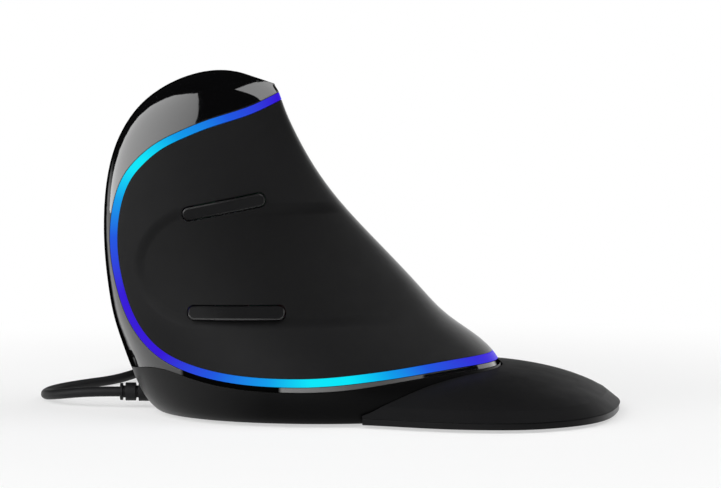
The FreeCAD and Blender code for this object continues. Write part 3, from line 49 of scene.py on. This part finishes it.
LOOK_AT = Vector((0.0, 0.0, 0.0392))
DISTANCE, ELEVATION = 0.650, math.radians(4.0)
SENSOR_WIDTH, FOCAL_LENGTH = 36.0, 137.8
CLIP_START = 0.02
camera_data = bpy.data.cameras.new("view")
camera_data.sensor_width = SENSOR_WIDTH
camera_data.lens = FOCAL_LENGTH
camera_data.clip_start = CLIP_START
camera = bpy.data.objects.new("view", camera_data)
scene.collection.objects.link(camera)
camera.location = LOOK_AT + DISTANCE * Vector((0, -math.cos(ELEVATION), math.sin(ELEVATION)))
camera.rotation_euler = (math.radians(90) - ELEVATION, 0, 0)
scene.camera = camera

# Cord: its lead, the piled coil and its tail are one curve

CORD_DIAMETER = 0.0024
COIL_CENTRE = (-0.036, 0.066)
COIL_PITCH, COIL_LAYER, COIL_MEAN_DIAMETER = 0.0035, 0.0032, 0.028
COIL_LAYERS, COIL_TURNS, POINTS_A_TURN = 4, 4, 16
TIE_THICKNESS = 0.0009
REST = CORD_DIAMETER / 2
coil_low = TIE_THICKNESS + REST
coil_outer = COIL_MEAN_DIAMETER / 2 + COIL_TURNS * COIL_PITCH / 2
coil_left = COIL_CENTRE[0] - coil_outer
LEAD = [(-0.057, 0.003, 0.0039), (-0.0645, 0.003, 0.0039), (-0.073, 0.0075, 0.0026), (-0.077, 0.017, 0.0014),
        (-0.076, 0.0285, REST), (-0.070, 0.0395, REST), (-0.0625, 0.0485, REST),
        (coil_left, 0.0565, coil_low), (coil_left, 0.0636, coil_low)]

# The curve cuts inside its points, so they stand out from the coil's circle, part of the way to the polygon
# round it.

SWELL_SHARE = 0.7


def coil_points():
    """The coil's turns: in and out again in layers, climbing in the half turn where the spiral reverses.

    The last layer ends a quarter turn early, where the tail leaves it.
    """
    half = POINTS_A_TURN // 2
    swell = 1.0 / math.cos(math.pi / POINTS_A_TURN) ** SWELL_SHARE
    radius, level, angle = coil_outer, coil_low, math.pi
    points = []
    step = 2 * math.pi / POINTS_A_TURN
    for layer in range(COIL_LAYERS):
        inward = -1 if layer % 2 == 0 else 1
        steps = COIL_TURNS * POINTS_A_TURN
        if layer == COIL_LAYERS - 1:
            steps -= half // 2
        for _ in range(steps):
            points.append((radius * swell, angle, level))
            radius += inward * COIL_PITCH / POINTS_A_TURN
            angle -= step
        if layer < COIL_LAYERS - 1:
            for number in range(half):
                climb = 0.5 * (1 - math.cos(math.pi * number / half))
                points.append((radius * swell, angle, level + COIL_LAYER * climb))
                angle -= step
            level += COIL_LAYER
    return [(COIL_CENTRE[0] + r * math.cos(a), COIL_CENTRE[1] + r * math.sin(a), z) for r, a, z in points]


coil = coil_points()
leave_y, leave_z = coil[-1][1], coil[-1][2]
TAIL = [(-0.0327, leave_y, leave_z), (-0.0255, leave_y, leave_z), (-0.0165, 0.0848, 0.0066),
        (-0.0095, 0.083, 0.0038), (-0.003, 0.083, 0.0038)]
route = LEAD + coil[1:] + TAIL

cord_curve = bpy.data.curves.new("usb_cord", "CURVE")
cord_curve.dimensions = "3D"
cord_curve.bevel_depth = CORD_DIAMETER / 2
cord_curve.bevel_resolution = 5
cord_curve.resolution_u = 6
cord_curve.use_fill_caps = True
spline = cord_curve.splines.new("NURBS")
spline.points.add(len(route) - 1)
for point, place in zip(spline.points, route):
    point.co = (*place, 1.0)
spline.order_u = 3
spline.use_endpoint_u = True
cord = bpy.data.objects.new("usb_cord", cord_curve)
scene.collection.objects.link(cord)

# Materials: the scales of the noises are in cycles a metre

TONE_SCALE, TONE_DETAIL = 60.0, 4.0
POLISH_SCALE, POLISH_DETAIL, POLISH_DRIFT = 220.0, 5.0, 0.08
GRAIN_DETAIL, GRAIN_HEIGHT = 2.0, 0.00002
EDGE = 0.0003
GLOSS_TONE = 0.8


class Shader:
    """A node material, built one node at a time."""

    def __init__(self, name):
        self.material = bpy.data.materials.new(name)
        self.material.use_nodes = True
        self.tree = self.material.node_tree
        self.tree.nodes.clear()
        self.out = self.node("ShaderNodeOutputMaterial")

    def node(self, kind, **settings):
        made = self.tree.nodes.new(kind)
        for name, value in settings.items():
            setattr(made, name, value)
        return made

    def link(self, source, target):
        self.tree.links.new(source, target)

    def place(self):
        return self.node("ShaderNodeTexCoord").outputs["Object"]

    def axes(self):
        """The place's coordinates one by one."""
        made = self.node("ShaderNodeSeparateXYZ")
        self.link(self.place(), made.inputs[0])
        return made.outputs

    def noise(self, scale, detail=3.0):
        made = self.node("ShaderNodeTexNoise")
        made.inputs["Scale"].default_value = scale
        made.inputs["Detail"].default_value = detail
        made.inputs["Roughness"].default_value = 0.55
        self.link(self.place(), made.inputs["Vector"])
        return made.outputs["Fac"]

    def spread(self, value, low, high, source_low=0.3, source_high=0.7):
        """The value's range stretched to another; a noise stays mostly between the two source limits."""
        made = self.node("ShaderNodeMapRange")
        made.inputs["From Min"].default_value = source_low
        made.inputs["From Max"].default_value = source_high
        made.inputs["To Min"].default_value = low
        made.inputs["To Max"].default_value = high
        self.link(value, made.inputs["Value"])
        return made.outputs["Result"]

    def step(self, value, middle, width):
        """From 0 to 1 as the value passes its middle, smoothly over the width."""
        made = self.node("ShaderNodeMapRange", interpolation_type="SMOOTHSTEP")
        made.inputs["From Min"].default_value = middle - width / 2
        made.inputs["From Max"].default_value = middle + width / 2
        self.link(value, made.inputs["Value"])
        return made.outputs["Result"]

    def ramp(self, value, stops):
        made = self.node("ShaderNodeValToRGB")
        elements = made.color_ramp.elements
        for number, (position, colour) in enumerate(stops):
            element = elements[number] if number < 2 else elements.new(position)
            element.position = position
            element.color = (*colour, 1.0)
        self.link(value, made.inputs["Fac"])
        return made.outputs["Color"]

    def math(self, operation, first, second=None):
        made = self.node("ShaderNodeMath", operation=operation)
        for number, value in enumerate((first, second)):
            if value is None:
                continue
            if isinstance(value, (int, float)):
                made.inputs[number].default_value = value
            else:
                self.link(value, made.inputs[number])
        return made.outputs[0]

    def product(self, first, second):
        return self.math("MULTIPLY", first, second)

    def inverse(self, value):
        return self.math("SUBTRACT", 1.0, value)

    def past(self, value, limit):
        """By how far the value lies past a limit, and 0 before it."""
        return self.math("MAXIMUM", self.math("SUBTRACT", value, limit), 0.0)

    def short_of(self, value, limit):
        """By how far the value lies short of a limit, and 0 after it."""
        return self.math("MAXIMUM", self.math("SUBTRACT", limit, value), 0.0)

    def between(self, value, low, high, width=0.001):
        """1 where the value lies between two limits."""
        return self.product(self.step(value, low, width), self.inverse(self.step(value, high, width)))

    def tone(self, low, high):
        """A colour that drifts slowly between two tones."""
        return self.ramp(self.noise(TONE_SCALE, TONE_DETAIL), [(0.35, low), (0.65, high)])

    def polish(self, low, high):
        """A roughness that drifts between two values."""
        return self.spread(self.noise(POLISH_SCALE, POLISH_DETAIL), low, high)

    def relief(self, height, strength, distance=GRAIN_HEIGHT, edge=EDGE):
        """Fine relief, with the piece's edges rounded by a radius."""
        bump = self.node("ShaderNodeBump")
        bump.inputs["Strength"].default_value = strength
        bump.inputs["Distance"].default_value = distance
        self.link(height, bump.inputs["Height"])
        bevel = self.node("ShaderNodeBevel", samples=4)
        bevel.inputs["Radius"].default_value = edge
        self.link(bevel.outputs[0], bump.inputs["Normal"])
        return bump.outputs[0]

    def surface(self, **values):
        """A plain surface. A name's underscores stand for the spaces in a socket's name."""
        made = self.node("ShaderNodeBsdfPrincipled")
        for name, value in values.items():
            socket = made.inputs[name.replace("_", " ")]
            if hasattr(value, "is_linked"):
                self.link(value, socket)
            else:
                socket.default_value = value
        self.link(made.outputs[0], self.out.inputs["Surface"])

    def gloss(self, roughness, tone=GLOSS_TONE, normal=None):
        made = self.node("ShaderNodeBsdfGlossy")
        made.inputs["Roughness"].default_value = roughness
        made.inputs["Color"].default_value = (tone, tone, tone, 1.0)
        if normal:
            self.link(normal, made.inputs["Normal"])
        return made.outputs[0]

    def lay_over(self, other, amount):
        """Blend a second shader over the one that the surface has."""
        blend = self.node("ShaderNodeMixShader")
        first = self.out.inputs["Surface"].links[0].from_socket
        self.link(amount, blend.inputs["Fac"])
        self.link(first, blend.inputs[1])
        self.link(other, blend.inputs[2])
        self.link(blend.outputs[0], self.out.inputs["Surface"])

    def facing(self):
        """0 where the surface faces the eye, 1 where it is seen edge on."""
        made = self.node("ShaderNodeLayerWeight")
        made.inputs["Blend"].default_value = 0.5
        return made.outputs["Facing"]

    def silky(self, share):
        """The soft gloss that a fine matt coating gets toward its outline."""
        outline = self.math("POWER", self.facing(), SILK_NARROWNESS)
        self.lay_over(self.gloss(SILK_ROUGHNESS), self.product(outline, share))


# Silk: the soft gloss's share on the coated shells, its roughness, and how closely it keeps to the outline

SILK, SILK_ROUGHNESS, SILK_NARROWNESS = 0.6, 0.4, 5.0


def moulded(name, colour, roughness, grain_scale=9000.0, grain=0.25, edge=0.00025, specular=0.12, wear=0.06,
            coat=0.0, silk=0.0):
    """Moulded plastic: fine grain, slow changes of tone and of polish, and rounded edges."""
    shader = Shader(name)
    low, high = (tuple(part * share for part in colour) for share in (1 - wear, 1 + wear))
    shader.surface(Base_Color=shader.tone(low, high), Specular_IOR_Level=specular,
                   Roughness=shader.polish(roughness * (1 - POLISH_DRIFT), roughness * (1 + POLISH_DRIFT)),
                   Normal=shader.relief(shader.noise(grain_scale, GRAIN_DETAIL), grain, edge=edge),
                   Coat_Weight=coat, Coat_Roughness=0.03)
    if silk:
        shader.silky(silk)
    return shader.material


def metal(name, colour, roughness):
    """Bare metal with fine scratches that change its tone and its polish."""
    shader = Shader(name)
    scratches = shader.noise(4000.0)
    dull = tuple(part * 0.85 for part in colour)
    shader.surface(Base_Color=shader.ramp(scratches, [(0.3, dull), (0.7, colour)]), Metallic=1.0,
                   Roughness=shader.spread(scratches, roughness * 0.8, roughness * 1.2),
                   Normal=shader.relief(scratches, 0.15, edge=0.0001))
    return shader.material


# Ridge: painted shade darkens its outline, over a wider band toward the top. Under the light strip its
# lip has painted shade at the nose, and is satin from there to the palm rest.

RIM_FACING, RIM_SOFTNESS = 0.71, 0.1
RIM_WIDENING, RIM_LOW, RIM_HIGH = 0.18, 0.022, 0.05
RIM_PAINTED_SHADE_TONE = 0.001
LIP_START, LIP_END, SATIN_END = -0.0405, -0.018, 0.0142
LIP_TOP, LIP_SOFTNESS = 0.0175, 0.002
SATIN_ROUGHNESS, SATIN_TONE = 0.45, 0.12


def polished(name):
    """Piano black: a mirror whose outline is darkened by painted shade."""
    shader = Shader(name)
    shader.surface(Base_Color=shader.tone((0.0009, 0.0009, 0.0011), (0.0011, 0.0011, 0.0013)),
                   Roughness=shader.polish(0.035, 0.045), Specular_IOR_Level=0.6,
                   Normal=shader.relief(shader.noise(400.0, GRAIN_DETAIL), 0.02),
                   Coat_Weight=1.0, Coat_Roughness=0.02)
    axes = shader.axes()
    under_strip = shader.inverse(shader.step(axes["Z"], LIP_TOP, LIP_SOFTNESS))
    satin = shader.product(under_strip, shader.between(axes["X"], LIP_END, SATIN_END))
    shader.lay_over(shader.gloss(SATIN_ROUGHNESS, SATIN_TONE), satin)
    widening = shader.spread(axes["Z"], 0.0, RIM_WIDENING, RIM_LOW, RIM_HIGH)
    # Painted shade: a dark diffuse laid over the mirror at its outline and on the lip at the nose
    rim_painted_shade = shader.step(shader.math("ADD", shader.facing(), widening), RIM_FACING, RIM_SOFTNESS)
    lip_painted_shade = shader.product(under_strip, shader.between(axes["X"], LIP_START, LIP_END))
    shade = shader.node("ShaderNodeBsdfDiffuse")
    shade.inputs["Color"].default_value = (RIM_PAINTED_SHADE_TONE, RIM_PAINTED_SHADE_TONE, RIM_PAINTED_SHADE_TONE, 1.0)
    shader.lay_over(shade.outputs[0], shader.math("MAXIMUM", rim_painted_shade, lip_painted_shade))
    return shader.material


# Base: painted light makes it paler at the nose, fading to its own tone beside the palm rest

PAINTED_LIGHT_START, PAINTED_LIGHT_END, PAINTED_LIGHT_DRIFT = -0.046, -0.021, 0.0015
NOSE_PAINTED_LIGHT_TONE, BASE_TONE = (0.0135, 0.0135, 0.0135), (0.0012, 0.0012, 0.0013)


def base_wall(name):
    """The base's fine texture, with painted light that makes it paler at the nose."""
    shader = Shader(name)
    # Painted light: the colour runs from a pale nose to the base's own dark tone
    drift = shader.spread(shader.noise(TONE_SCALE, TONE_DETAIL), -PAINTED_LIGHT_DRIFT, PAINTED_LIGHT_DRIFT)
    along = shader.math("ADD", shader.axes()["X"], drift)
    share = shader.spread(along, 0.0, 1.0, PAINTED_LIGHT_START, PAINTED_LIGHT_END)
    shader.surface(Base_Color=shader.ramp(share, [(0.0, NOSE_PAINTED_LIGHT_TONE), (1.0, BASE_TONE)]),
                   Roughness=shader.polish(0.36, 0.42), Specular_IOR_Level=0.06,
                   Normal=shader.relief(shader.noise(6000.0, GRAIN_DETAIL), 0.5))
    shader.silky(0.15)
    return shader.material


# Bar buttons: their rounded edge is where the rounded normal has turned this far from the true one

BUTTON_EDGE, BUTTON_TURNED, BUTTON_TURN_SOFTNESS = 0.0006, 0.97, 0.04
BUTTON_EDGE_GLOSS, BUTTON_EDGE_ROUGHNESS = 0.065, 0.26


def bar_button(name):
    """A satin button whose rounded edge is polished."""
    shader = Shader(name)
    rounded = shader.relief(shader.noise(9000.0, GRAIN_DETAIL), 0.1, edge=BUTTON_EDGE)
    shader.surface(Base_Color=shader.tone((0.0075, 0.0075, 0.0078), (0.0085, 0.0085, 0.0088)), Normal=rounded,
                   Roughness=shader.polish(0.24, 0.28), Specular_IOR_Level=0.04)
    alike = shader.node("ShaderNodeVectorMath", operation="DOT_PRODUCT")
    shader.link(rounded, alike.inputs[0])
    shader.link(shader.node("ShaderNodeNewGeometry").outputs["Normal"], alike.inputs[1])
    edge = shader.inverse(shader.step(alike.outputs["Value"], BUTTON_TURNED, BUTTON_TURN_SOFTNESS))
    gloss = shader.gloss(BUTTON_EDGE_ROUGHNESS, normal=rounded)
    shader.lay_over(gloss, shader.product(edge, BUTTON_EDGE_GLOSS))
    return shader.material


# Scoop in the thumb's shell: its limits in the side view, the radius of its corners, and its depth. It fades
# out to the rear. Its darker colour is painted shade.

SCOOP_LEFT, SCOOP_RIGHT, SCOOP_LOW, SCOOP_HIGH = -0.0505, 0.004, 0.0233, 0.0485
SCOOP_CORNER, SCOOP_SOFTNESS, SCOOP_FADE, SCOOP_DEPTH = 0.014, 0.003, 0.026, 0.0006
SCOOP_PAINTED_SHADE_TONE = (0.0046, 0.0046, 0.0048)


def thumb_rest(name):
    """The thumb's shell: soft-touch plastic with a shallow scoop between its two buttons, darkened there by
    painted shade.
    """
    shader = Shader(name)
    axes = shader.axes()
    x, z = axes["X"], axes["Z"]
    level = shader.short_of(x, SCOOP_LEFT + SCOOP_CORNER)
    upright = shader.math("ADD", shader.short_of(z, SCOOP_LOW + SCOOP_CORNER),
                          shader.past(z, SCOOP_HIGH - SCOOP_CORNER))
    squares = shader.math("ADD", shader.product(level, level), shader.product(upright, upright))
    outside = shader.step(shader.math("SQRT", squares), SCOOP_CORNER, SCOOP_SOFTNESS)
    faded = shader.step(x, SCOOP_RIGHT, SCOOP_FADE)
    scoop = shader.product(shader.inverse(outside), shader.inverse(faded))
    # Painted shade: the colour is darker inside the scoop
    tone = shader.node("ShaderNodeMix", data_type="RGBA")
    shader.link(scoop, tone.inputs["Factor"])
    shader.link(shader.tone((0.0062, 0.0062, 0.0065), (0.0068, 0.0068, 0.0071)), tone.inputs["A"])
    tone.inputs["B"].default_value = (*SCOOP_PAINTED_SHADE_TONE, 1.0)
    grain = shader.product(shader.noise(11000.0, GRAIN_DETAIL), GRAIN_HEIGHT)
    height = shader.math("SUBTRACT", grain, shader.product(scoop, SCOOP_DEPTH))
    shader.surface(Base_Color=tone.outputs["Result"], Roughness=shader.polish(0.42, 0.5),
                   Specular_IOR_Level=0.08, Normal=shader.relief(height, 1.0, distance=1.0))
    shader.silky(SILK)
    return shader.material


# Light strip: its colours run round its C, by the degrees about the C's middle in the side view

STRIP_MIDDLE = (-0.015, 0.043)
STRIP_START, STRIP_END = 85.0, 332.0
VIOLET, BLUE = (0.034, 0.006, 0.67), (0.011, 0.095, 0.74)
AZURE, CYAN = (0.001, 0.33, 0.82), (0.0, 0.79, 0.94)
STRIP_COLOURS = [(98, VIOLET), (120, BLUE), (141, AZURE), (154, CYAN), (158, CYAN), (169, AZURE),
                 (181, BLUE), (199, VIOLET), (222, VIOLET), (240, BLUE), (260, AZURE), (277, CYAN),
                 (291, CYAN), (305, AZURE), (315, BLUE), (327, VIOLET)]


def strip_light(name):
    """The lit strip, whose colours change along it."""
    shader = Shader(name)
    axes = shader.axes()
    across = shader.math("SUBTRACT", axes["X"], STRIP_MIDDLE[0])
    upward = shader.math("SUBTRACT", axes["Z"], STRIP_MIDDLE[1])
    angle = shader.product(shader.math("ARCTAN2", upward, across), 180.0 / math.pi)
    turned = shader.math("MODULO", shader.math("ADD", angle, 360.0), 360.0)
    share = shader.spread(turned, 0.0, 1.0, STRIP_START, STRIP_END)
    stops = [((at - STRIP_START) / (STRIP_END - STRIP_START), colour) for at, colour in STRIP_COLOURS]
    shader.surface(Base_Color=(0.002, 0.002, 0.0024, 1.0), Roughness=0.35, Specular_IOR_Level=0.02,
                   Emission_Color=shader.ramp(share, stops), Emission_Strength=1.0,
                   Normal=shader.relief(shader.noise(3000.0), 0.1, edge=0.0002))
    return shader.material


def red_lamp(name):
    """The sensor's lamp, lit."""
    shader = Shader(name)
    body = shader.ramp(shader.noise(800.0), [(0.3, (0.5, 0.01, 0.005)), (0.7, (0.8, 0.03, 0.02))])
    shader.surface(Base_Color=body, Roughness=0.15, Emission_Color=(1.0, 0.03, 0.01, 1.0),
                   Emission_Strength=6.0)
    return shader.material


LOOKS = {
    "soft_touch_black": moulded("soft_touch", (0.0062, 0.0062, 0.0065), 0.46, grain_scale=11000.0, grain=0.35,
                                edge=EDGE, specular=0.08, silk=SILK),
    "piano_black": polished("polished_black"),
    "key_black": moulded("key_satin", (0.008, 0.008, 0.0085), 0.33, grain_scale=11000.0, grain=0.3, edge=EDGE,
                         specular=0.25),
    "base_black": moulded("base_texture", (0.0022, 0.0022, 0.0024), 0.38, grain_scale=6000.0, grain=0.5,
                          edge=EDGE, specular=0.1),
    "button_black": bar_button("button_satin"),
    "wheel_rubber": moulded("wheel_rubber", (0.014, 0.014, 0.0145), 0.7, grain_scale=7000.0, grain=0.5,
                            edge=0.0002),
    "wheel_core": moulded("wheel_core", (0.5, 0.53, 0.56), 0.25, grain_scale=3000.0, grain=0.1, edge=0.0002,
                          specular=0.5),
    "inner_plastic": moulded("inner_plastic", (0.02, 0.02, 0.022), 0.5, grain_scale=6000.0, grain=0.3,
                             edge=0.0002),
    "board_green": moulded("board_mask", (0.012, 0.11, 0.04), 0.35, grain_scale=2500.0, grain=0.3,
                           edge=0.0001, specular=0.4, wear=0.2),
    "chip_black": moulded("chip_case", (0.014, 0.014, 0.014), 0.45, grain=0.4, edge=0.0001, specular=0.3),
    "connector_white": moulded("connector", (0.7, 0.69, 0.64), 0.4, grain_scale=6000.0, grain=0.2,
                               edge=0.0001, specular=0.4),
    "ribbon_grey": moulded("ribbon", (0.4, 0.42, 0.45), 0.4, grain_scale=3000.0, grain=0.3, edge=0.00005,
                           specular=0.4),
    "steel": metal("steel", (0.62, 0.62, 0.63), 0.3),
    "lens_clear": moulded("lens", (0.6, 0.64, 0.68), 0.08, grain_scale=900.0, grain=0.02, edge=0.0001,
                          specular=0.5, coat=1.0),
    "lamp_white": moulded("lamp_case", (0.8, 0.8, 0.74), 0.3, grain_scale=3000.0, grain=0.1, edge=0.00005,
                          specular=0.4),
    "cord_black": moulded("cord_jacket", (0.010, 0.010, 0.0107), 0.48, grain_scale=5000.0, grain=0.4,
                          edge=0.0002),
    "glide_ptfe": moulded("glide", (0.04, 0.04, 0.042), 0.4, grain_scale=5000.0, grain=0.2, edge=0.0001,
                          specular=0.3),
    "magnet": metal("nickel", (0.66, 0.64, 0.6), 0.2),
    "light_guide": strip_light("light_guide"),
    "lamp_red": red_lamp("lamp_red"),
}
OWN_LOOKS = {
    "thumb_shell": thumb_rest("thumb_soft_touch"),
    "base_shell": base_wall("base_wall"),
    "palm_rest_cover": moulded("rest_soft_touch", (0.0078, 0.0078, 0.0082), 0.5, grain_scale=11000.0,
                               grain=0.35, edge=EDGE, specular=0.03, silk=0.05),
    "palm_rest_plinth": moulded("plinth_satin", (0.0022, 0.0022, 0.0025), 0.3, grain=0.2, edge=EDGE,
                                specular=0.12),
}

for part in frame["record"]["subparts"]:
    body = nodes[part["node"]]
    body.data.materials.clear()
    body.data.materials.append(OWN_LOOKS.get(part["node"], LOOKS[part["material_slot"]]))
    for polygon in body.data.polygons:
        polygon.material_index = 0

cord_curve.materials.append(LOOKS["cord_black"])
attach(cord, "casing")
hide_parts("usb_lead", "usb_coil", "usb_tail")

# Studio floor: white, and seen as plain white away from the mouse, where its shadow has ended

FLOOR_SIZE, FLOOR_TONE = 8.0, 0.97
SHADOW_REACH, SHADOW_FADE, PLAIN_SHARE_NEAR = 0.16, 0.14, 0.55

bpy.ops.mesh.primitive_plane_add(size=FLOOR_SIZE, location=(0, 0, 0))
floor = bpy.context.object
floor.name = "studio_floor"
paper = Shader("studio_paper")
lit = paper.node("ShaderNodeBsdfDiffuse")
lit.inputs["Color"].default_value = (FLOOR_TONE, FLOOR_TONE, FLOOR_TONE, 1.0)
paper.link(lit.outputs[0], paper.out.inputs["Surface"])
rays = paper.node("ShaderNodeLightPath").outputs
mirrored = paper.math("MAXIMUM", rays["Is Glossy Ray"], rays["Is Transmission Ray"])
seen = paper.math("MAXIMUM", rays["Is Camera Ray"], mirrored)
away = paper.node("ShaderNodeVectorMath", operation="LENGTH")
paper.link(paper.place(), away.inputs[0])
far_off = paper.step(away.outputs["Value"], SHADOW_REACH, SHADOW_FADE)
plain_share = paper.spread(far_off, PLAIN_SHARE_NEAR, 1.0, 0.0, 1.0)
white = paper.node("ShaderNodeEmission")
white.inputs["Strength"].default_value = 1.0
paper.lay_over(white.outputs[0], paper.product(seen, plain_share))
floor.data.materials.append(paper.material)

# Sky: white at the horizon and dim overhead, by the upward part of its direction

SKY_FADE_START, SKY_FADE_END, SKY_OVERHEAD = 0.04, 0.26, 0.015

world = bpy.data.worlds.new("studio")
world.use_nodes = True
scene.world = world
tree = world.node_tree
sky = tree.nodes["Background"]
direction = tree.nodes.new("ShaderNodeTexCoord")
height = tree.nodes.new("ShaderNodeSeparateXYZ")
tree.links.new(direction.outputs["Generated"], height.inputs[0])
dimming = tree.nodes.new("ShaderNodeMapRange")
dimming.interpolation_type = "SMOOTHSTEP"
dimming.inputs["From Min"].default_value = SKY_FADE_START
dimming.inputs["From Max"].default_value = SKY_FADE_END
dimming.inputs["To Min"].default_value = 1.0
dimming.inputs["To Max"].default_value = SKY_OVERHEAD
tree.links.new(height.outputs["Z"], dimming.inputs["Value"])
tree.links.new(dimming.outputs["Result"], sky.inputs["Strength"])
sky.inputs["Color"].default_value = (1.0, 1.0, 1.0, 1.0)

# Softboxes

LIT_MIDDLE = Vector((0.0, 0.0, 0.04))
BOX_DISTANCE, BOX_TALL = 1.3, 0.7


def level_way(azimuth):
    """The level direction at an angle from +X toward +Y."""
    return Vector((math.cos(azimuth), math.sin(azimuth), 0))


def softbox(name, azimuth, elevation, wide, brightness):
    """An area lamp that faces the mouse. Its place is in degrees, round the mouse and up from the desk."""
    above = math.radians(elevation)
    way = math.cos(above) * level_way(math.radians(azimuth)) + Vector((0, 0, math.sin(above)))
    data = bpy.data.lights.new(name, "AREA")
    data.shape = "RECTANGLE"
    data.size, data.size_y = wide, BOX_TALL
    data.energy = brightness * math.pi * wide * BOX_TALL
    box = bpy.data.objects.new(name, data)
    scene.collection.objects.link(box)
    box.location = LIT_MIDDLE + way * BOX_DISTANCE
    box.rotation_euler = way.to_track_quat("Z", "Y").to_euler()


softbox("right_softbox", azimuth=-15.0, elevation=50.0, wide=1.4, brightness=2.4)
softbox("rear_softbox", azimuth=50.0, elevation=18.0, wide=1.2, brightness=1.0)

# Panel: it stands on the desk to the front left, and its outline, given along it and up, shows in the
# polished ridge. Its light fades from its left strength to its right one between two places along it.

PANEL_AZIMUTH, PANEL_DISTANCE = math.radians(-130.0), 1.2
PANEL = [(-1.95, 0.02), (-1.3, 0.6), (-0.84, 1.4), (-0.13, 2.0), (0.3, 2.3), (1.0, 2.3), (1.3, 1.11),
         (1.75, 0.02)]
PANEL_LEFT, PANEL_RIGHT, PANEL_FADE_HALF = 5.0, 1.6, 1.4

outward = level_way(PANEL_AZIMUTH)
along = level_way(PANEL_AZIMUTH + math.pi / 2)
corners = [outward * PANEL_DISTANCE + along * across + Vector((0, 0, up)) for across, up in PANEL]
panel_mesh = bpy.data.meshes.new("panel")
panel_mesh.from_pydata(corners, [], [list(range(len(PANEL)))])
panel = bpy.data.objects.new("studio_panel", panel_mesh)
scene.collection.objects.link(panel)
glow = Shader("panel_light")
position = glow.node("ShaderNodeVectorMath", operation="DOT_PRODUCT")
glow.link(glow.place(), position.inputs[0])
position.inputs[1].default_value = along
strength = glow.spread(position.outputs["Value"], PANEL_LEFT, PANEL_RIGHT, -PANEL_FADE_HALF, PANEL_FADE_HALF)
lit_cloth = glow.node("ShaderNodeEmission")
glow.link(strength, lit_cloth.inputs["Strength"])
glow.link(lit_cloth.outputs[0], glow.out.inputs["Surface"])
panel_mesh.materials.append(glow.material)
panel.visible_camera = False

scene.view_settings.view_transform = "Standard"
